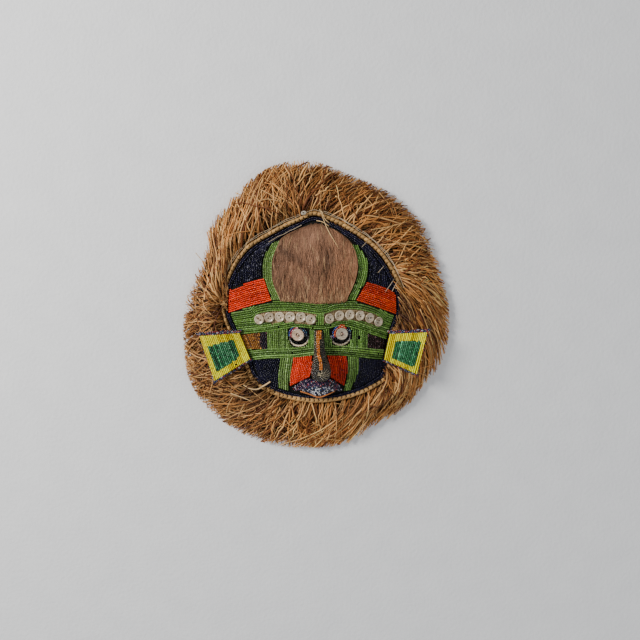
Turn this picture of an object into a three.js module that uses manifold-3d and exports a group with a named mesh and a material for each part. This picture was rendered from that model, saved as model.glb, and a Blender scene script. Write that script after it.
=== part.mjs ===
// A beaded raffia mask, lying on its back: +Z is out of the face, +Y is up the face. Millimetres.
import * as THREE from "three";
import { mergeVertices } from "three/addons/utils/BufferGeometryUtils.js";
import Module from "manifold-3d";

const wasm = await Module();
wasm.setup();

// Dome of the face
const rimTop = 21.5;
const domeRise = 24;
const domePower = 2.2;
const clothThickness = 3;

// Crease from the apex down to the chin, right of the middle
const crestRise = 6;
const crestWidth = 12;
const crestRound = 2;
const crestEnd = 0.96;
const crestMiddleX = 9.5;
const crestMiddleY = 10;
const crestTopShift = -8.5;
const crestChinShift = -3.5;
const faceTopY = 104;
const faceChinY = -107;

// Rim of the face and ends of the raffia, anticlockwise from the viewer's right
const rimPoints = [
  [101, 2], [99, 17], [90, 37], [70, 65.5], [45, 84.5], [18, 98.5], [1, 104], [-17, 97],
  [-47, 82.5], [-74, 65.5], [-92, 40], [-101, 14], [-101, -5], [-90, -32], [-76, -63], [-69, -81],
  [-52, -93.5], [-20, -104], [5, -107], [40, -101.5], [69, -88.5], [82, -78], [85.5, -56], [92, -26],
];
const fringePoints = [
  [154, 0], [150, 22], [141, 52], [132, 78], [116, 103], [93, 124], [62, 140], [34, 151],
  [0, 163], [-37, 161], [-70, 144], [-95, 120], [-119, 88], [-123, 64], [-139, 28], [-148, -8],
  [-149, -46], [-144, -84], [-122, -119], [-89, -145], [-54, -160], [-8, -164], [36, -160],
  [74, -137], [108, -116], [132, -87], [150, -56], [155, -20],
];

// Raffia collar: radii are counted from the face's rim, or back from the strands' ends
const fringeSections = 84;
const fringeInset = 8;
const fringeSeat = 17;
const fringeShoulderOut = 22;
const fringeShoulder = 26;
const fringeTipBack = 16;
const fringeTipTop = 16;
const fringeTuft = 3;
const fringeFootBack = 5;
const fringeStep = 0.6;

// Braid on the collar, just outside the cloth
const rimSections = 60;
const braidOut = 0.6;
const braidWidth = 6;
const braidGap = 0.5;
const braidTop = 25.6;
const braidOuterDrop = 3;
const braidInnerDrop = 2;
const braidRib = 0.6;

// Cloth: lines of the grid, counted sideways from the crease, and its step up the face
const clothLines = [-118, -96, -78, -62, -46, -31, -16, -8, -3, 0, 3, 8, 16, 31, 46, 62, 78, 104];
const clothStep = 17;
const clothMargin = 5;

// Bead work: a rib stands for two or three bead rows
const seamGap = 0.8;
const sideGap = 0.45;
const beadValley = 1.4;
const beadPeak = 2.5;
const ribPitch = 5.1;
const borderWidth = 5.6;
const borderLift = 0.4;
const borderGap = 0.3;

// Lines across the bead work: an even step, and the lines beside the crease
const stationStep = 13;
const crestStations = [-16, -8, -3, 0, 3, 8, 16];
const stationClearance = 2.2;
const crossingSteps = 240;
const rimStep = 0.16;
const curveSteps = 400;

// Forehead hide
const hideThickness = 3.2;
const hideRows = 9;
const hideLines = [-30, ...crestStations, 28];
const hideLeastShare = 0.5;

// Buttons
const buttonRadius = 5.6;
const buttonThickness = 2.2;
const buttonChamfer = 0.7;
const buttonHoleRadius = 0.75;
const buttonHoleOffset = 1.3;
const buttonHoleSides = 4;
const buttonSides = 10;
const buttonLean = 8;
const buttonRise = 1.8;
const buttonReach = 4;
const firstTurn = { left: 0.4, right: 1 };
const eyeButtonRadius = 6.8;
const eyeButtonTurn = 0.2;
const eyeButtonRise = 1.4;
const leftButtons = [[-60.5, -11.2], [-49, -8.6], [-37.2, -8], [-25.4, -7.8], [-13.6, -8], [-2.6, -10.4]];
const rightButtons = [[17.2, -9.6], [28.4, -6.4], [40, -5.6], [51.6, -6.8], [62.6, -9.8], [73, -14.4]];

// Eyes: a crescent opening under each button, and beads over it from one angle to another
const eyes = {
  left: { button: [-17, -28], opening: [-16, -30], beads: [35, 190] },
  right: { button: [31.5, -27], opening: [30.5, -29], beads: [-8, 188] },
};
const eyeOpeningHalf = [10.5, 9.9];
const eyeOpeningSteps = 10;
const eyeLipRadius = 6.9;
const eyeBeadRadius = 7.6;
const eyeBeadSteps = 9;
const eyeBeadWidth = 1.2;
const eyeBeadHeight = 2;

// A string of beads is as high as its beads in the middle, and lower at its sides
const stringShoulder = 0.6;

// Nose, from the brow down: [y, middle x, half width, ridge x, height]
const noseStations = [
  [-22.4, 5.8, 4, 5.6, 3], [-33, 6.2, 4.8, 5.6, 8], [-45, 6.9, 5.4, 5.8, 12.5], [-54, 7.6, 6.8, 7.4, 16],
  [-62, 8.4, 9.2, 8, 19], [-70, 8.6, 10.4, 8.2, 19.5], [-75.4, 8.8, 9.6, 8.2, 15], [-79.4, 8.6, 7.2, 8.2, 7],
];
const noseSides = 8;
const noseFoot = 0.6;
const noseRoundness = 0.8;
const noseBase = [0.8, 0.3, -0.2, -0.8];
const ridgeStations = 6;
const ridgeRise = 0.6;
const ridgeWidth = 3.2;
const ridgeHeight = 1.6;

// Mouth
const lipRoot = 2.5;
const lipRise = 12;
const lipEndShare = 0.06;
const mouthFloor = 9;
const mouthChin = 6;
const lipCordRadius = 1.3;
const lipCordSteps = 8;

// Ears: flat panels over the raffia, corners from the top inner one, going outwards
const leftEar = {
  panel: [[-83.7, -27.5], [-129.5, -30.5], [-112, -83], [-71.5, -57.5]],
  centre: [[-90.6, -34], [-120.7, -42.5], [-109.8, -71], [-83.7, -52.5]],
};
const rightEar = {
  panel: [[86.6, -28], [129.4, -27.5], [118.4, -74.5], [80.2, -57.8]],
  centre: [[92.9, -36.5], [122.4, -36.5], [113.2, -67], [88.8, -57]],
};
const earSeat = 30;
const earTilt = 0.07;
const earThickness = 1.6;
const earBeadGap = 0.3;
const earBeadHeight = 2;
const earBorderInset = 0.09;
const earWindowInset = -0.02;
const earFieldInset = 0.04;
const earEdgeInset = 0.02;
const earEdgeWidth = 2;
const earEdgeSteps = 3;

const knotPlace = [-11, 107.5];
const knotSize = [3.2, 2.4, 1.8];
const knotGap = 0.3;

// Cuts run from under the object to over it
const cutLow = -20;
const cutHigh = 90;
const weldDistance = 1e-4;

// Radius of a closed outline around the origin, as a smooth function of the angle
function outlineRadius(points) {
  const knots = points.map(([x, y]) => ({ angle: Math.atan2(y, x), radius: Math.hypot(x, y) }));
  knots.sort((a, b) => a.angle - b.angle);
  const turn = 2 * Math.PI;
  const count = knots.length;
  const knot = (i) => {
    const lap = Math.floor(i / count);
    const base = knots[i - lap * count];
    return { angle: base.angle + lap * turn, radius: base.radius };
  };
  const slope = (i) => {
    const [before, after] = [knot(i - 1), knot(i + 1)];
    return (after.radius - before.radius) / (after.angle - before.angle);
  };
  return (angle) => {
    const wrapped = knots[0].angle + ((((angle - knots[0].angle) % turn) + turn) % turn);
    let i = count - 1;
    while (i > 0 && knots[i].angle > wrapped) i -= 1;
    const [a, b] = [knot(i), knot(i + 1)];
    const span = b.angle - a.angle;
    const t = (wrapped - a.angle) / span;
    const [t2, t3] = [t * t, t * t * t];
    return (2 * t3 - 3 * t2 + 1) * a.radius + (t3 - 2 * t2 + t) * span * slope(i)
      + (3 * t2 - 2 * t3) * b.radius + (t3 - t2) * span * slope(i + 1);
  };
}

const rimRadius = outlineRadius(rimPoints);
const fringeRadius = outlineRadius(fringePoints);

function crestX(y) {
  const up = y > crestMiddleY;
  const reach = up ? faceTopY - crestMiddleY : faceChinY - crestMiddleY;
  return crestMiddleX + (up ? crestTopShift : crestChinShift) * ((y - crestMiddleY) / reach) ** 2;
}

// Top of the face cloth: a dome over the rim's outline, with the crease added
function faceHeight(x, y) {
  const rho = Math.min(1.15, Math.hypot(x, y) / rimRadius(Math.atan2(y, x)));
  const off = Math.hypot(x - crestX(y), crestRound) - crestRound;
  const crease = crestRise * Math.exp(-off / crestWidth) * Math.max(0, 1 - (rho / crestEnd) ** 4);
  return rimTop + domeRise * (1 - rho ** domePower) + crease;
}

function geometryFrom(points, triangles) {
  const geometry = new THREE.BufferGeometry();
  geometry.setAttribute("position", new THREE.Float32BufferAttribute(points.flat(), 3));
  geometry.setIndex(triangles.flat());
  return geometry;
}

// Six times the signed volume, positive where the faces point out
function signedVolume(points, triangles) {
  let sum = 0;
  for (const [i, j, k] of triangles) {
    const [a, b, c] = [points[i], points[j], points[k]];
    sum += a[0] * (b[1] * c[2] - b[2] * c[1]) + a[1] * (b[2] * c[0] - b[0] * c[2])
      + a[2] * (b[0] * c[1] - b[1] * c[0]);
  }
  return sum;
}

function closedGeometry(points, triangles) {
  const outward = signedVolume(points, triangles) > 0;
  return geometryFrom(points, outward ? triangles : triangles.map(([a, b, c]) => [a, c, b]));
}

// Triangles between two lines of vertices, walked by their own parameters
function stitch(lineA, lineB, placesA, placesB) {
  const triangles = [];
  let [i, j] = [0, 0];
  while (i < lineA.length - 1 || j < lineB.length - 1) {
    const stepA = j === lineB.length - 1 || (i < lineA.length - 1 && placesA[i + 1] <= placesB[j + 1]);
    if (stepA) {
      triangles.push([lineA[i], lineA[i + 1], lineB[j]]);
      i += 1;
    } else {
      triangles.push([lineA[i], lineB[j + 1], lineB[j]]);
      j += 1;
    }
  }
  return triangles;
}

// A smooth curve through plan points, as a function of the fraction of its length
function through(...points) {
  const places = points.map(([x, y]) => new THREE.Vector3(x, y, 0));
  const curve = new THREE.CatmullRomCurve3(places, false, "centripetal");
  curve.arcLengthDivisions = curveSteps;
  const place = (u) => {
    const p = curve.getPointAt(Math.min(1, Math.max(0, u)));
    return [p.x, p.y];
  };
  place.run = curve.getLength();
  return place;
}

// A stretch of the rim, set in towards the middle, between the angles of two plan points
function alongRim(start, end, inset) {
  const first = Math.atan2(start[1], start[0]);
  let sweep = Math.atan2(end[1], end[0]) - first;
  if (sweep > Math.PI) sweep -= 2 * Math.PI;
  if (sweep < -Math.PI) sweep += 2 * Math.PI;
  const steps = Math.max(2, Math.ceil(Math.abs(sweep) / rimStep));
  const points = [];
  for (let i = 0; i <= steps; i += 1) {
    const angle = first + (sweep * i) / steps;
    const radius = rimRadius(angle) - inset;
    points.push([radius * Math.cos(angle), radius * Math.sin(angle)]);
  }
  return through(...points);
}

// Fractions along a pad: even steps, and the places where it crosses the crease's own lines
function padStations(place, length) {
  const count = Math.max(2, Math.ceil(length / stationStep));
  const crossings = [];
  const side = (u) => {
    const [x, y] = place(u);
    return x - crestX(y);
  };
  for (let i = 0; i < crossingSteps; i += 1) {
    const [a, b] = [side(i / crossingSteps), side((i + 1) / crossingSteps)];
    for (const line of crestStations) {
      if ((a - line) * (b - line) < 0) crossings.push((i + (line - a) / (b - a)) / crossingSteps);
    }
  }
  const close = stationClearance / length;
  const isFree = (u) => crossings.every((c) => Math.abs(c - u) > close);
  const kept = evenPlaces(count).filter((u) => u === 0 || u === 1 || isFree(u));
  const inside = crossings.filter((c) => c > close && c < 1 - close);
  return [...kept, ...inside].sort((a, b) => a - b);
}

function evenPlaces(count) {
  return Array.from({ length: count + 1 }, (_, i) => i / count);
}

// Top, underside and four sides of a sheet, from its two grids of vertices
function sheetTriangles({ top, low, along, across, acrossLow }) {
  const triangles = [];
  for (let i = 0; i < along.length - 1; i += 1) {
    const [near, far] = [top[i], top[i + 1]];
    for (let j = 0; j < across.length - 1; j += 1) {
      triangles.push([near[j], far[j], far[j + 1]], [near[j], far[j + 1], near[j + 1]]);
    }
    const [nearLow, farLow] = [low[i], low[i + 1]];
    for (let j = 0; j < acrossLow.length - 1; j += 1) {
      triangles.push([nearLow[j], farLow[j + 1], farLow[j]], [nearLow[j], nearLow[j + 1], farLow[j + 1]]);
    }
  }
  const edge = (grid, j) => grid.map((row) => row[j < 0 ? row.length - 1 : j]);
  const last = along.length - 1;
  const back = (list) => [...list].reverse();
  const flip = (list) => back(list).map((t) => 1 - t);
  triangles.push(
    ...stitch(edge(low, 0), edge(top, 0), along, along),
    ...stitch(low[last], top[last], acrossLow, across),
    ...stitch(back(edge(low, -1)), back(edge(top, -1)), flip(along), flip(along)),
    ...stitch(back(low[0]), back(top[0]), flip(acrossLow), flip(across)),
  );
  return triangles;
}

// A pad on the face, ruled between two edge curves, with ribs that run along them
function padGeometry({ from, to, lift = () => 0 }) {
  const mix = (u, v) => {
    const [a, b] = [from(u), to(u)];
    return [a[0] + (b[0] - a[0]) * v, a[1] + (b[1] - a[1]) * v];
  };
  const spanAt = (u) => Math.hypot(to(u)[0] - from(u)[0], to(u)[1] - from(u)[1]);
  const length = (from.run + to.run) / 2;
  const endInset = sideGap / length;
  const along = padStations((u) => mix(u, 0.5), length).map((u) => endInset + u * (1 - 2 * endInset));
  const spans = along.map(spanAt);
  const meanSpan = spans.reduce((sum, span) => sum + span, 0) / spans.length;
  const ribs = Math.max(1, Math.round(meanSpan / ribPitch));
  const across = evenPlaces(2 * ribs);
  const acrossLow = evenPlaces(Math.max(1, Math.round(Math.max(...spans) / stationStep)));
  const points = [];
  const addRow = (u, fractions, heightAt) => fractions.map((v, j) => {
    const inset = sideGap / spanAt(u);
    const [x, y] = mix(u, inset + v * (1 - 2 * inset));
    points.push([x, y, faceHeight(x, y) + seamGap + heightAt(j, u, v)]);
    return points.length - 1;
  });
  const ribbed = (j, u, v) => (j % 2 ? beadPeak : beadValley) + lift(u, v);
  const top = along.map((u) => addRow(u, across, ribbed));
  const low = along.map((u) => addRow(u, acrossLow, () => 0));
  return closedGeometry(points, sheetTriangles({ top, low, along, across, acrossLow }));
}

// A closed ring: each section is a closed loop of [radius, height] at its angle
function ringGeometry(count, section) {
  const points = [];
  const triangles = [];
  const loops = [];
  for (let i = 0; i < count; i += 1) {
    const angle = (2 * Math.PI * i) / count;
    loops.push(section(angle, i).map(([radius, height]) => {
      points.push([radius * Math.cos(angle), radius * Math.sin(angle), height]);
      return points.length - 1;
    }));
  }
  const size = loops[0].length;
  loops.forEach((loop, i) => {
    const next = loops[(i + 1) % count];
    for (let j = 0; j < size; j += 1) {
      const k = (j + 1) % size;
      triangles.push([loop[j], next[j], next[k]], [loop[j], next[k], loop[k]]);
    }
  });
  return closedGeometry(points, triangles);
}

// An open sweep with flat ends: each section is a closed loop of points
function loftGeometry(sections) {
  const points = sections.flat();
  const size = sections[0].length;
  const triangles = [];
  const at = (i, j) => i * size + (j % size);
  for (let i = 0; i < sections.length - 1; i += 1) {
    for (let j = 0; j < size; j += 1) {
      const [a, b, c, d] = [at(i, j), at(i + 1, j), at(i + 1, j + 1), at(i, j + 1)];
      triangles.push([a, b, c], [a, c, d]);
    }
  }
  const last = sections.length - 1;
  for (let j = 1; j < size - 1; j += 1) {
    triangles.push([at(0, 0), at(0, j), at(0, j + 1)], [at(last, 0), at(last, j + 1), at(last, j)]);
  }
  return closedGeometry(points, triangles);
}

// Upright prism over a plan outline that is seen whole from its middle
function prismGeometry(outline, low, high) {
  const shape = new THREE.Shape(outline.map(([x, y]) => new THREE.Vector2(x, y)));
  const geometry = new THREE.ExtrudeGeometry(shape, { depth: high - low, bevelEnabled: false });
  return geometry.translate(0, 0, low);
}

// Geometry with its positions alone, and its shared vertices joined
function weldedGeometry(geometry) {
  geometry.deleteAttribute("normal");
  geometry.deleteAttribute("uv");
  return mergeVertices(geometry, weldDistance);
}

function toSolid(geometry) {
  const merged = weldedGeometry(geometry.clone());
  const vertProperties = new Float32Array(merged.attributes.position.array);
  const triVerts = new Uint32Array(merged.index.array);
  return new wasm.Manifold(new wasm.Mesh({ numProp: 3, vertProperties, triVerts }));
}

function fromSolid(solid) {
  const mesh = solid.getMesh();
  const geometry = new THREE.BufferGeometry();
  geometry.setAttribute("position", new THREE.Float32BufferAttribute(mesh.vertProperties, mesh.numProp));
  geometry.setIndex(Array.from(mesh.triVerts));
  return geometry;
}

const mask = new THREE.Group();

function addPiece(name, geometry, color, roughness = 0.9) {
  geometry.deleteAttribute("normal");
  geometry.computeVertexNormals();
  const mesh = new THREE.Mesh(geometry, new THREE.MeshStandardMaterial({ color, roughness, metalness: 0 }));
  mesh.name = name;
  mask.add(mesh);
  return mesh;
}

function addField(name, color, options) {
  return addPiece(name, padGeometry(options), color, 0.35);
}

const colours = {
  cloth: 0xb08c5e, raffia: 0xb8894f, braid: 0x9c7a4c, navy: 0x15152e, hide: 0x9a7659, green: 0x5c8c30,
  orange: 0xe84e12, bronze: 0x8a5a20, brown: 0x34242a, pearl: 0xd0c0a2, nose: 0x6a7460, yellow: 0xd8c420,
  emerald: 0x14603a, blue: 0x28407a, cord: 0xc06e20, red: 0xb02a2a, thread: 0xb4aea0,
};

// Opening below an eye button: between the button's lip and a wider ellipse
function eyeOpening({ button, opening }) {
  const outline = [];
  const addPoint = ([x, y], [halfX, halfY], angle) => {
    outline.push([x + halfX * Math.cos(angle), y + halfY * Math.sin(angle)]);
  };
  const angles = evenPlaces(eyeOpeningSteps).map((u) => Math.PI * (1 + u));
  angles.forEach((angle) => addPoint(opening, eyeOpeningHalf, angle));
  angles.reverse().forEach((angle) => addPoint(button, [eyeLipRadius, eyeLipRadius], angle));
  return prismGeometry(outline, cutLow, cutHigh);
}

// Face cloth: a bent slab on a grid that follows the crease, cut to the rim and opened at the eyes
function addCloth() {
  const rows = [];
  for (let y = faceChinY - clothMargin; y < faceTopY + clothMargin + clothStep; y += clothStep) rows.push(y);
  const points = [];
  const triangles = [];
  const width = clothLines.length;
  for (const drop of [0, clothThickness]) {
    for (const y of rows) {
      for (const line of clothLines) {
        const x = crestX(y) + line;
        points.push([x, y, faceHeight(x, y) - drop]);
      }
    }
  }
  const lower = width * rows.length;
  for (let j = 0; j < rows.length - 1; j += 1) {
    for (let i = 0; i < width - 1; i += 1) {
      const [a, b, c, d] = [j * width + i, j * width + i + 1, (j + 1) * width + i + 1, (j + 1) * width + i];
      triangles.push([a, b, c], [a, c, d]);
      triangles.push([lower + a, lower + c, lower + b], [lower + a, lower + d, lower + c]);
    }
  }
  const loop = [];
  for (let i = 0; i < width - 1; i += 1) loop.push(i);
  for (let j = 0; j < rows.length - 1; j += 1) loop.push(j * width + width - 1);
  for (let i = width - 1; i > 0; i -= 1) loop.push((rows.length - 1) * width + i);
  for (let j = rows.length - 1; j > 0; j -= 1) loop.push(j * width);
  loop.forEach((a, i) => {
    const b = loop[(i + 1) % loop.length];
    triangles.push([a, lower + a, lower + b], [a, lower + b, b]);
  });
  const outline = [];
  for (let i = 0; i < rimSections; i += 1) {
    const angle = (2 * Math.PI * i) / rimSections;
    outline.push([rimRadius(angle) * Math.cos(angle), rimRadius(angle) * Math.sin(angle)]);
  }
  const inside = toSolid(prismGeometry(outline, cutLow, cutHigh));
  const slab = toSolid(closedGeometry(points, triangles)).intersect(inside);
  const openings = [eyes.left, eyes.right].map((eye) => toSolid(eyeOpening(eye)));
  const opened = slab.subtract(openings[0]).subtract(openings[1]);
  addPiece("face_cloth", fromSolid(opened), colours.cloth);
}

// Raffia collar: thick at the shoulder, thin and tufted at the strands' ends, flat underneath
function addFringe() {
  addPiece("raffia_fringe", ringGeometry(fringeSections, (angle, i) => {
    const rim = rimRadius(angle);
    const end = fringeRadius(angle) - (i % 2 ? fringeTuft : 0);
    return [
      [rim - fringeInset, 0], [end - fringeFootBack, 0], [end, fringeTipTop / 2],
      [end - fringeTipBack, fringeTipTop], [rim + fringeShoulderOut, fringeShoulder],
      [rim + braidOut + braidWidth + fringeStep, fringeSeat], [rim - fringeInset, fringeSeat],
    ];
  }), colours.raffia);
}

function addBraid() {
  addPiece("rim_braid", ringGeometry(rimSections, (angle, i) => {
    const inner = rimRadius(angle) + braidOut;
    const outer = inner + braidWidth;
    const foot = fringeSeat + braidGap;
    const top = braidTop - (i % 2 ? braidRib : 0);
    return [
      [inner, foot], [outer, foot], [outer, top - braidOuterDrop],
      [inner + braidWidth / 2, top], [inner, top - braidInnerDrop],
    ];
  }), colours.braid);
}

// Two bead rows sewn along the rim
function addBorder() {
  addPiece("beads_navy_border", ringGeometry(rimSections, (angle) => {
    const outer = rimRadius(angle) - borderGap;
    const place = (back, height) => {
      const radius = outer - back;
      const [x, y] = [radius * Math.cos(angle), radius * Math.sin(angle)];
      return [radius, faceHeight(x, y) + seamGap + borderLift + height];
    };
    const width = borderWidth - 2 * borderGap;
    return [
      place(width, 0), place(0, 0), place(0, beadValley), place(width / 4, beadPeak),
      place(width / 2, beadValley), place((3 * width) / 4, beadPeak), place(width, beadValley),
    ];
  }), colours.navy, 0.35);
}

// Forehead hide: rows from edge to edge, with vertices on the crease's own lines, so that it has a ridge
function addHide() {
  const left = through([-35.5, 11], [-44, 30], [-45.5, 46], [-44.5, 57], [-37, 77], [-19, 89], [-3, 94.5]);
  const right = through([37, 11], [45, 27], [49, 40], [49.5, 52], [43, 72], [26, 87], [10, 93.5]);
  const along = evenPlaces(hideRows);
  const across = evenPlaces(hideLines.length + 1);
  const least = hideLeastShare / across.length;
  const points = [];
  const addRow = (u, rise) => across.map((share, j) => {
    const [a, b] = [left(u), right(u)];
    const width = b[0] - a[0];
    const wanted = (crestX((a[1] + b[1]) / 2) + hideLines[j - 1] - a[0]) / width;
    const inside = Math.min(1 - least * (across.length - 1 - j), Math.max(least * j, wanted));
    const t = j > 0 && j < across.length - 1 ? inside : share;
    const [x, y] = [a[0] + width * t, a[1] + (b[1] - a[1]) * t];
    points.push([x, y, faceHeight(x, y) + seamGap + rise]);
    return points.length - 1;
  });
  const top = along.map((u) => addRow(u, hideThickness));
  const low = along.map((u) => addRow(u, 0));
  const triangles = sheetTriangles({ top, low, along, across, acrossLow: across });
  addPiece("hide_patch", closedGeometry(points, triangles), colours.hide);
}

function addForeheadBeads() {
  const inner = borderWidth;
  addField("beads_navy_upper_left", colours.navy, {
    from: through([-58.5, 37], [-59, 46], [-57, 58], [-51.5, 69.5], [-41, 79], [-28, 87], [-15, 92.5]),
    to: alongRim([-92, 25], [-13, 96], inner),
  });
  addField("beads_navy_upper_right", colours.navy, {
    from: through([61.5, 31], [63.5, 43], [62, 55], [56.5, 67], [46, 76.5], [34, 85], [21, 91.5]),
    to: alongRim([93, 21], [20, 96], inner),
  });
  addField("beads_green_horn_left", colours.green, {
    from: through([-36.5, 11], [-45, 30], [-46.5, 46], [-45.5, 57], [-38.5, 76]),
    to: through([-46, 11], [-55, 34], [-57.5, 46], [-56, 58], [-45.5, 74.5]),
  });
  addField("beads_green_horn_right", colours.green, {
    from: through([38, 11], [46, 27], [50, 40], [50.5, 52], [44.5, 71.5]),
    to: through([47, 11], [58, 31], [62, 43], [60.5, 55], [50.5, 71]),
  });
  addField("beads_orange_temple_left", colours.orange, {
    from: through([-94.5, -4.5], [-72, 3.5], [-47.5, 9.5]),
    to: through([-93, 23], [-75, 29.5], [-57, 35.5]),
  });
  addField("beads_orange_temple_right", colours.orange, {
    from: through([49, 10], [70, 3], [93, -5.6]),
    to: through([60.5, 29], [77, 24.5], [92.6, 18]),
  });
}

function addBrow() {
  addField("beads_green_brow_upper", colours.green, {
    from: through(
      [-90.8, -15.3], [-70, -10.8], [-65, -5], [-50, -2], [-37, -1], [-16, -1.4], [-3, -3.2], [7, -4.6],
      [15, -3], [24, 0.2], [38, 1.2], [52, 0.2], [66, -3.8], [76, -8.6], [80, -15], [88, -18.4],
    ),
    to: through(
      [-94.5, -5.5], [-76, 1], [-57, 6.4], [-39, 9.4], [-16, 8.8], [7, 7], [24, 8], [45, 9], [58, 5.5],
      [77, -1], [92, -7],
    ),
  });
  addField("beads_green_brow_lower", colours.green, {
    from: through(
      [-85, -29.5], [-72, -27.6], [-51, -24.8], [-29, -21], [-20, -19.2], [-12, -19.4], [4, -21.2],
      [17, -20.4], [31, -18], [42, -20], [59, -26], [72, -31], [82.8, -35],
    ),
    to: through(
      [-90.2, -16.5], [-70, -12.4], [-65, -17.4], [-50, -15.4], [-37, -15], [-16, -15], [-3, -16.6],
      [7, -17.2], [14, -15.8], [24, -12.8], [38, -11.6], [52, -13], [66, -17.4], [76, -21.6],
      [80, -17.2], [87.2, -20.3],
    ),
  });
  addField("beads_green_brow_bridge", colours.green, {
    from: through([3.4, -16.6], [3.6, -4.4]),
    to: through([11.4, -16], [11.4, -4.4]),
  });
}

function addEyeLevelBeads() {
  addField("beads_bronze_temple", colours.bronze, {
    from: through([-83.2, -31], [-77.2, -46]),
    to: through([-52, -26], [-52, -45]),
  });
  addField("beads_brown_temple", colours.brown, {
    from: through([61.5, -28], [61.5, -44.4]),
    to: through([81.8, -36.5], [80.4, -46.2]),
  });
  addField("beads_green_eye_outer_left", colours.green, {
    from: through([-51.5, -26], [-51.5, -44.9]),
    to: through([-28, -22.4], [-26, -43.2]),
  });
  addField("beads_green_eye_inner_left", colours.green, {
    from: through([-5, -22], [-4.6, -42]),
    to: through([1.2, -22.4], [0.8, -41.4]),
  });
  addField("beads_green_eye_inner_right", colours.green, {
    from: through([11.9, -22.4], [12.9, -41]),
    to: through([19, -21.4], [19.6, -40.8]),
  });
  addField("beads_green_eye_outer_right", colours.green, {
    from: through([42.5, -21.5], [40.8, -41.6]),
    to: through([61, -27.5], [61, -44.2]),
  });
  addField("beads_green_lower_left", colours.green, {
    from: through([-70.8, -59.4], [-49.3, -56], [-22.4, -54.2], [-10.5, -52.7], [-0.8, -51]),
    to: through([-76.2, -46.6], [-49, -45.2], [-26, -43.7], [-14.9, -43], [0.4, -41.8]),
  });
  addField("beads_green_lower_right", colours.green, {
    from: through([15, -50.6], [39, -52.6], [60, -55.6], [79, -59]),
    to: through([13.2, -41.4], [30, -41.2], [45, -42.4], [63, -44.8], [80.6, -47]),
  });
}

function addCheekBeads() {
  const inner = borderWidth;
  addField("beads_navy_lower_left", colours.navy, {
    from: alongRim([-63.5, -81], [-41, -91], inner),
    to: through([-70.4, -60.2], [-37.8, -56.2]),
  });
  addField("beads_green_cheek_left", colours.green, {
    from: through([-36.8, -55.7], [-39.4, -70], [-40.2, -78], [-40.2, -91.6]),
    to: through([-23, -54.9], [-23.4, -62], [-26, -73], [-27.8, -95.6]),
  });
  addField("beads_orange_cheek_left", colours.orange, {
    from: through([-22.4, -54.9], [-22.9, -62], [-25.4, -73], [-27, -88.8]),
    to: through([-1.4, -51.9], [-2.4, -62], [-3.8, -72], [-5, -76.6]),
  });
  addField("beads_orange_cheek_right", colours.orange, {
    from: through([17, -51.8], [19, -60], [20.6, -70], [20.6, -77.4]),
    to: through([38.6, -53.5], [38.4, -74.5], [34.8, -88.2]),
  });
  addField("beads_green_cheek_right", colours.green, {
    from: through([39.2, -53.6], [39, -74.5], [37.4, -86], [35, -95.4]),
    to: through([51.6, -55.4], [51.4, -68], [49.6, -78], [45.2, -89], [43, -94.4]),
  });
  addField("beads_navy_lower_right", colours.navy, {
    from: through([52.2, -55.6], [52, -68], [50.2, -78], [46.8, -90.2]),
    to: alongRim([79.4, -60.2], [52, -93], inner),
  });
}

// A two-hole button, its holes along the given direction
function buttonGeometry(radius, turn) {
  const brink = radius - buttonChamfer;
  const rings = [[0, brink], [buttonThickness - buttonChamfer, radius], [buttonThickness, brink]];
  const sections = rings.map(([height, size]) => Array.from({ length: buttonSides }, (_, i) => {
    const angle = (2 * Math.PI * i) / buttonSides;
    return [size * Math.cos(angle), size * Math.sin(angle), height];
  }));
  const hole = (side) => {
    const length = 3 * buttonThickness;
    const geometry = new THREE.CylinderGeometry(buttonHoleRadius, buttonHoleRadius, length, buttonHoleSides);
    const offset = side * buttonHoleOffset;
    geometry.rotateX(Math.PI / 2);
    return toSolid(geometry.translate(offset * Math.cos(turn), offset * Math.sin(turn), 0));
  };
  return fromSolid(toSolid(loftGeometry(sections)).subtract(hole(-1)).subtract(hole(1)));
}

// Seats a button on the face, leaned about the given plan direction
function addButton(name, [x, y], { radius, turn, lean, rise }) {
  const button = addPiece(name, buttonGeometry(radius, turn), colours.pearl, 0.3);
  const run = 2 * buttonReach;
  const tiltX = (faceHeight(x + buttonReach, y) - faceHeight(x - buttonReach, y)) / run;
  const tiltY = (faceHeight(x, y + buttonReach) - faceHeight(x, y - buttonReach)) / run;
  const normal = new THREE.Vector3(-tiltX + Math.tan(lean), -tiltY, 1).normalize();
  button.quaternion.setFromUnitVectors(new THREE.Vector3(0, 0, 1), normal);
  button.position.set(x, y, faceHeight(x, y) + rise);
}

// Six buttons in each brow strip, each leaning over the next like scales
function addBrowButtons() {
  const lean = THREE.MathUtils.degToRad(buttonLean);
  for (const [side, places] of [["left", leftButtons], ["right", rightButtons]]) {
    places.forEach((place, i) => {
      const seat = { radius: buttonRadius, turn: firstTurn[side] + i, lean, rise: buttonRise };
      addButton(`brow_button_${side}_${i + 1}`, place, seat);
    });
  }
}

// String of beads along plan points, laid on a surface
function stringGeometry(places, heightAt, width, thickness) {
  const shoulder = thickness * stringShoulder;
  const sections = places.map(([x, y], i) => {
    const [before, after] = [places[Math.max(0, i - 1)], places[Math.min(places.length - 1, i + 1)]];
    const share = width / 2 / Math.hypot(after[0] - before[0], after[1] - before[1]);
    const [sideX, sideY] = [(before[1] - after[1]) * share, (after[0] - before[0]) * share];
    const low = heightAt(x, y);
    return [
      [x - sideX, y - sideY, low], [x + sideX, y + sideY, low],
      [x + sideX, y + sideY, low + shoulder], [x, y, low + thickness],
      [x - sideX, y - sideY, low + shoulder],
    ];
  });
  return loftGeometry(sections);
}

function arcPlaces([x, y], radius, [first, last], steps) {
  return evenPlaces(steps).map((u) => {
    const angle = THREE.MathUtils.degToRad(first + (last - first) * u);
    return [x + radius * Math.cos(angle), y + radius * Math.sin(angle)];
  });
}

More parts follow.
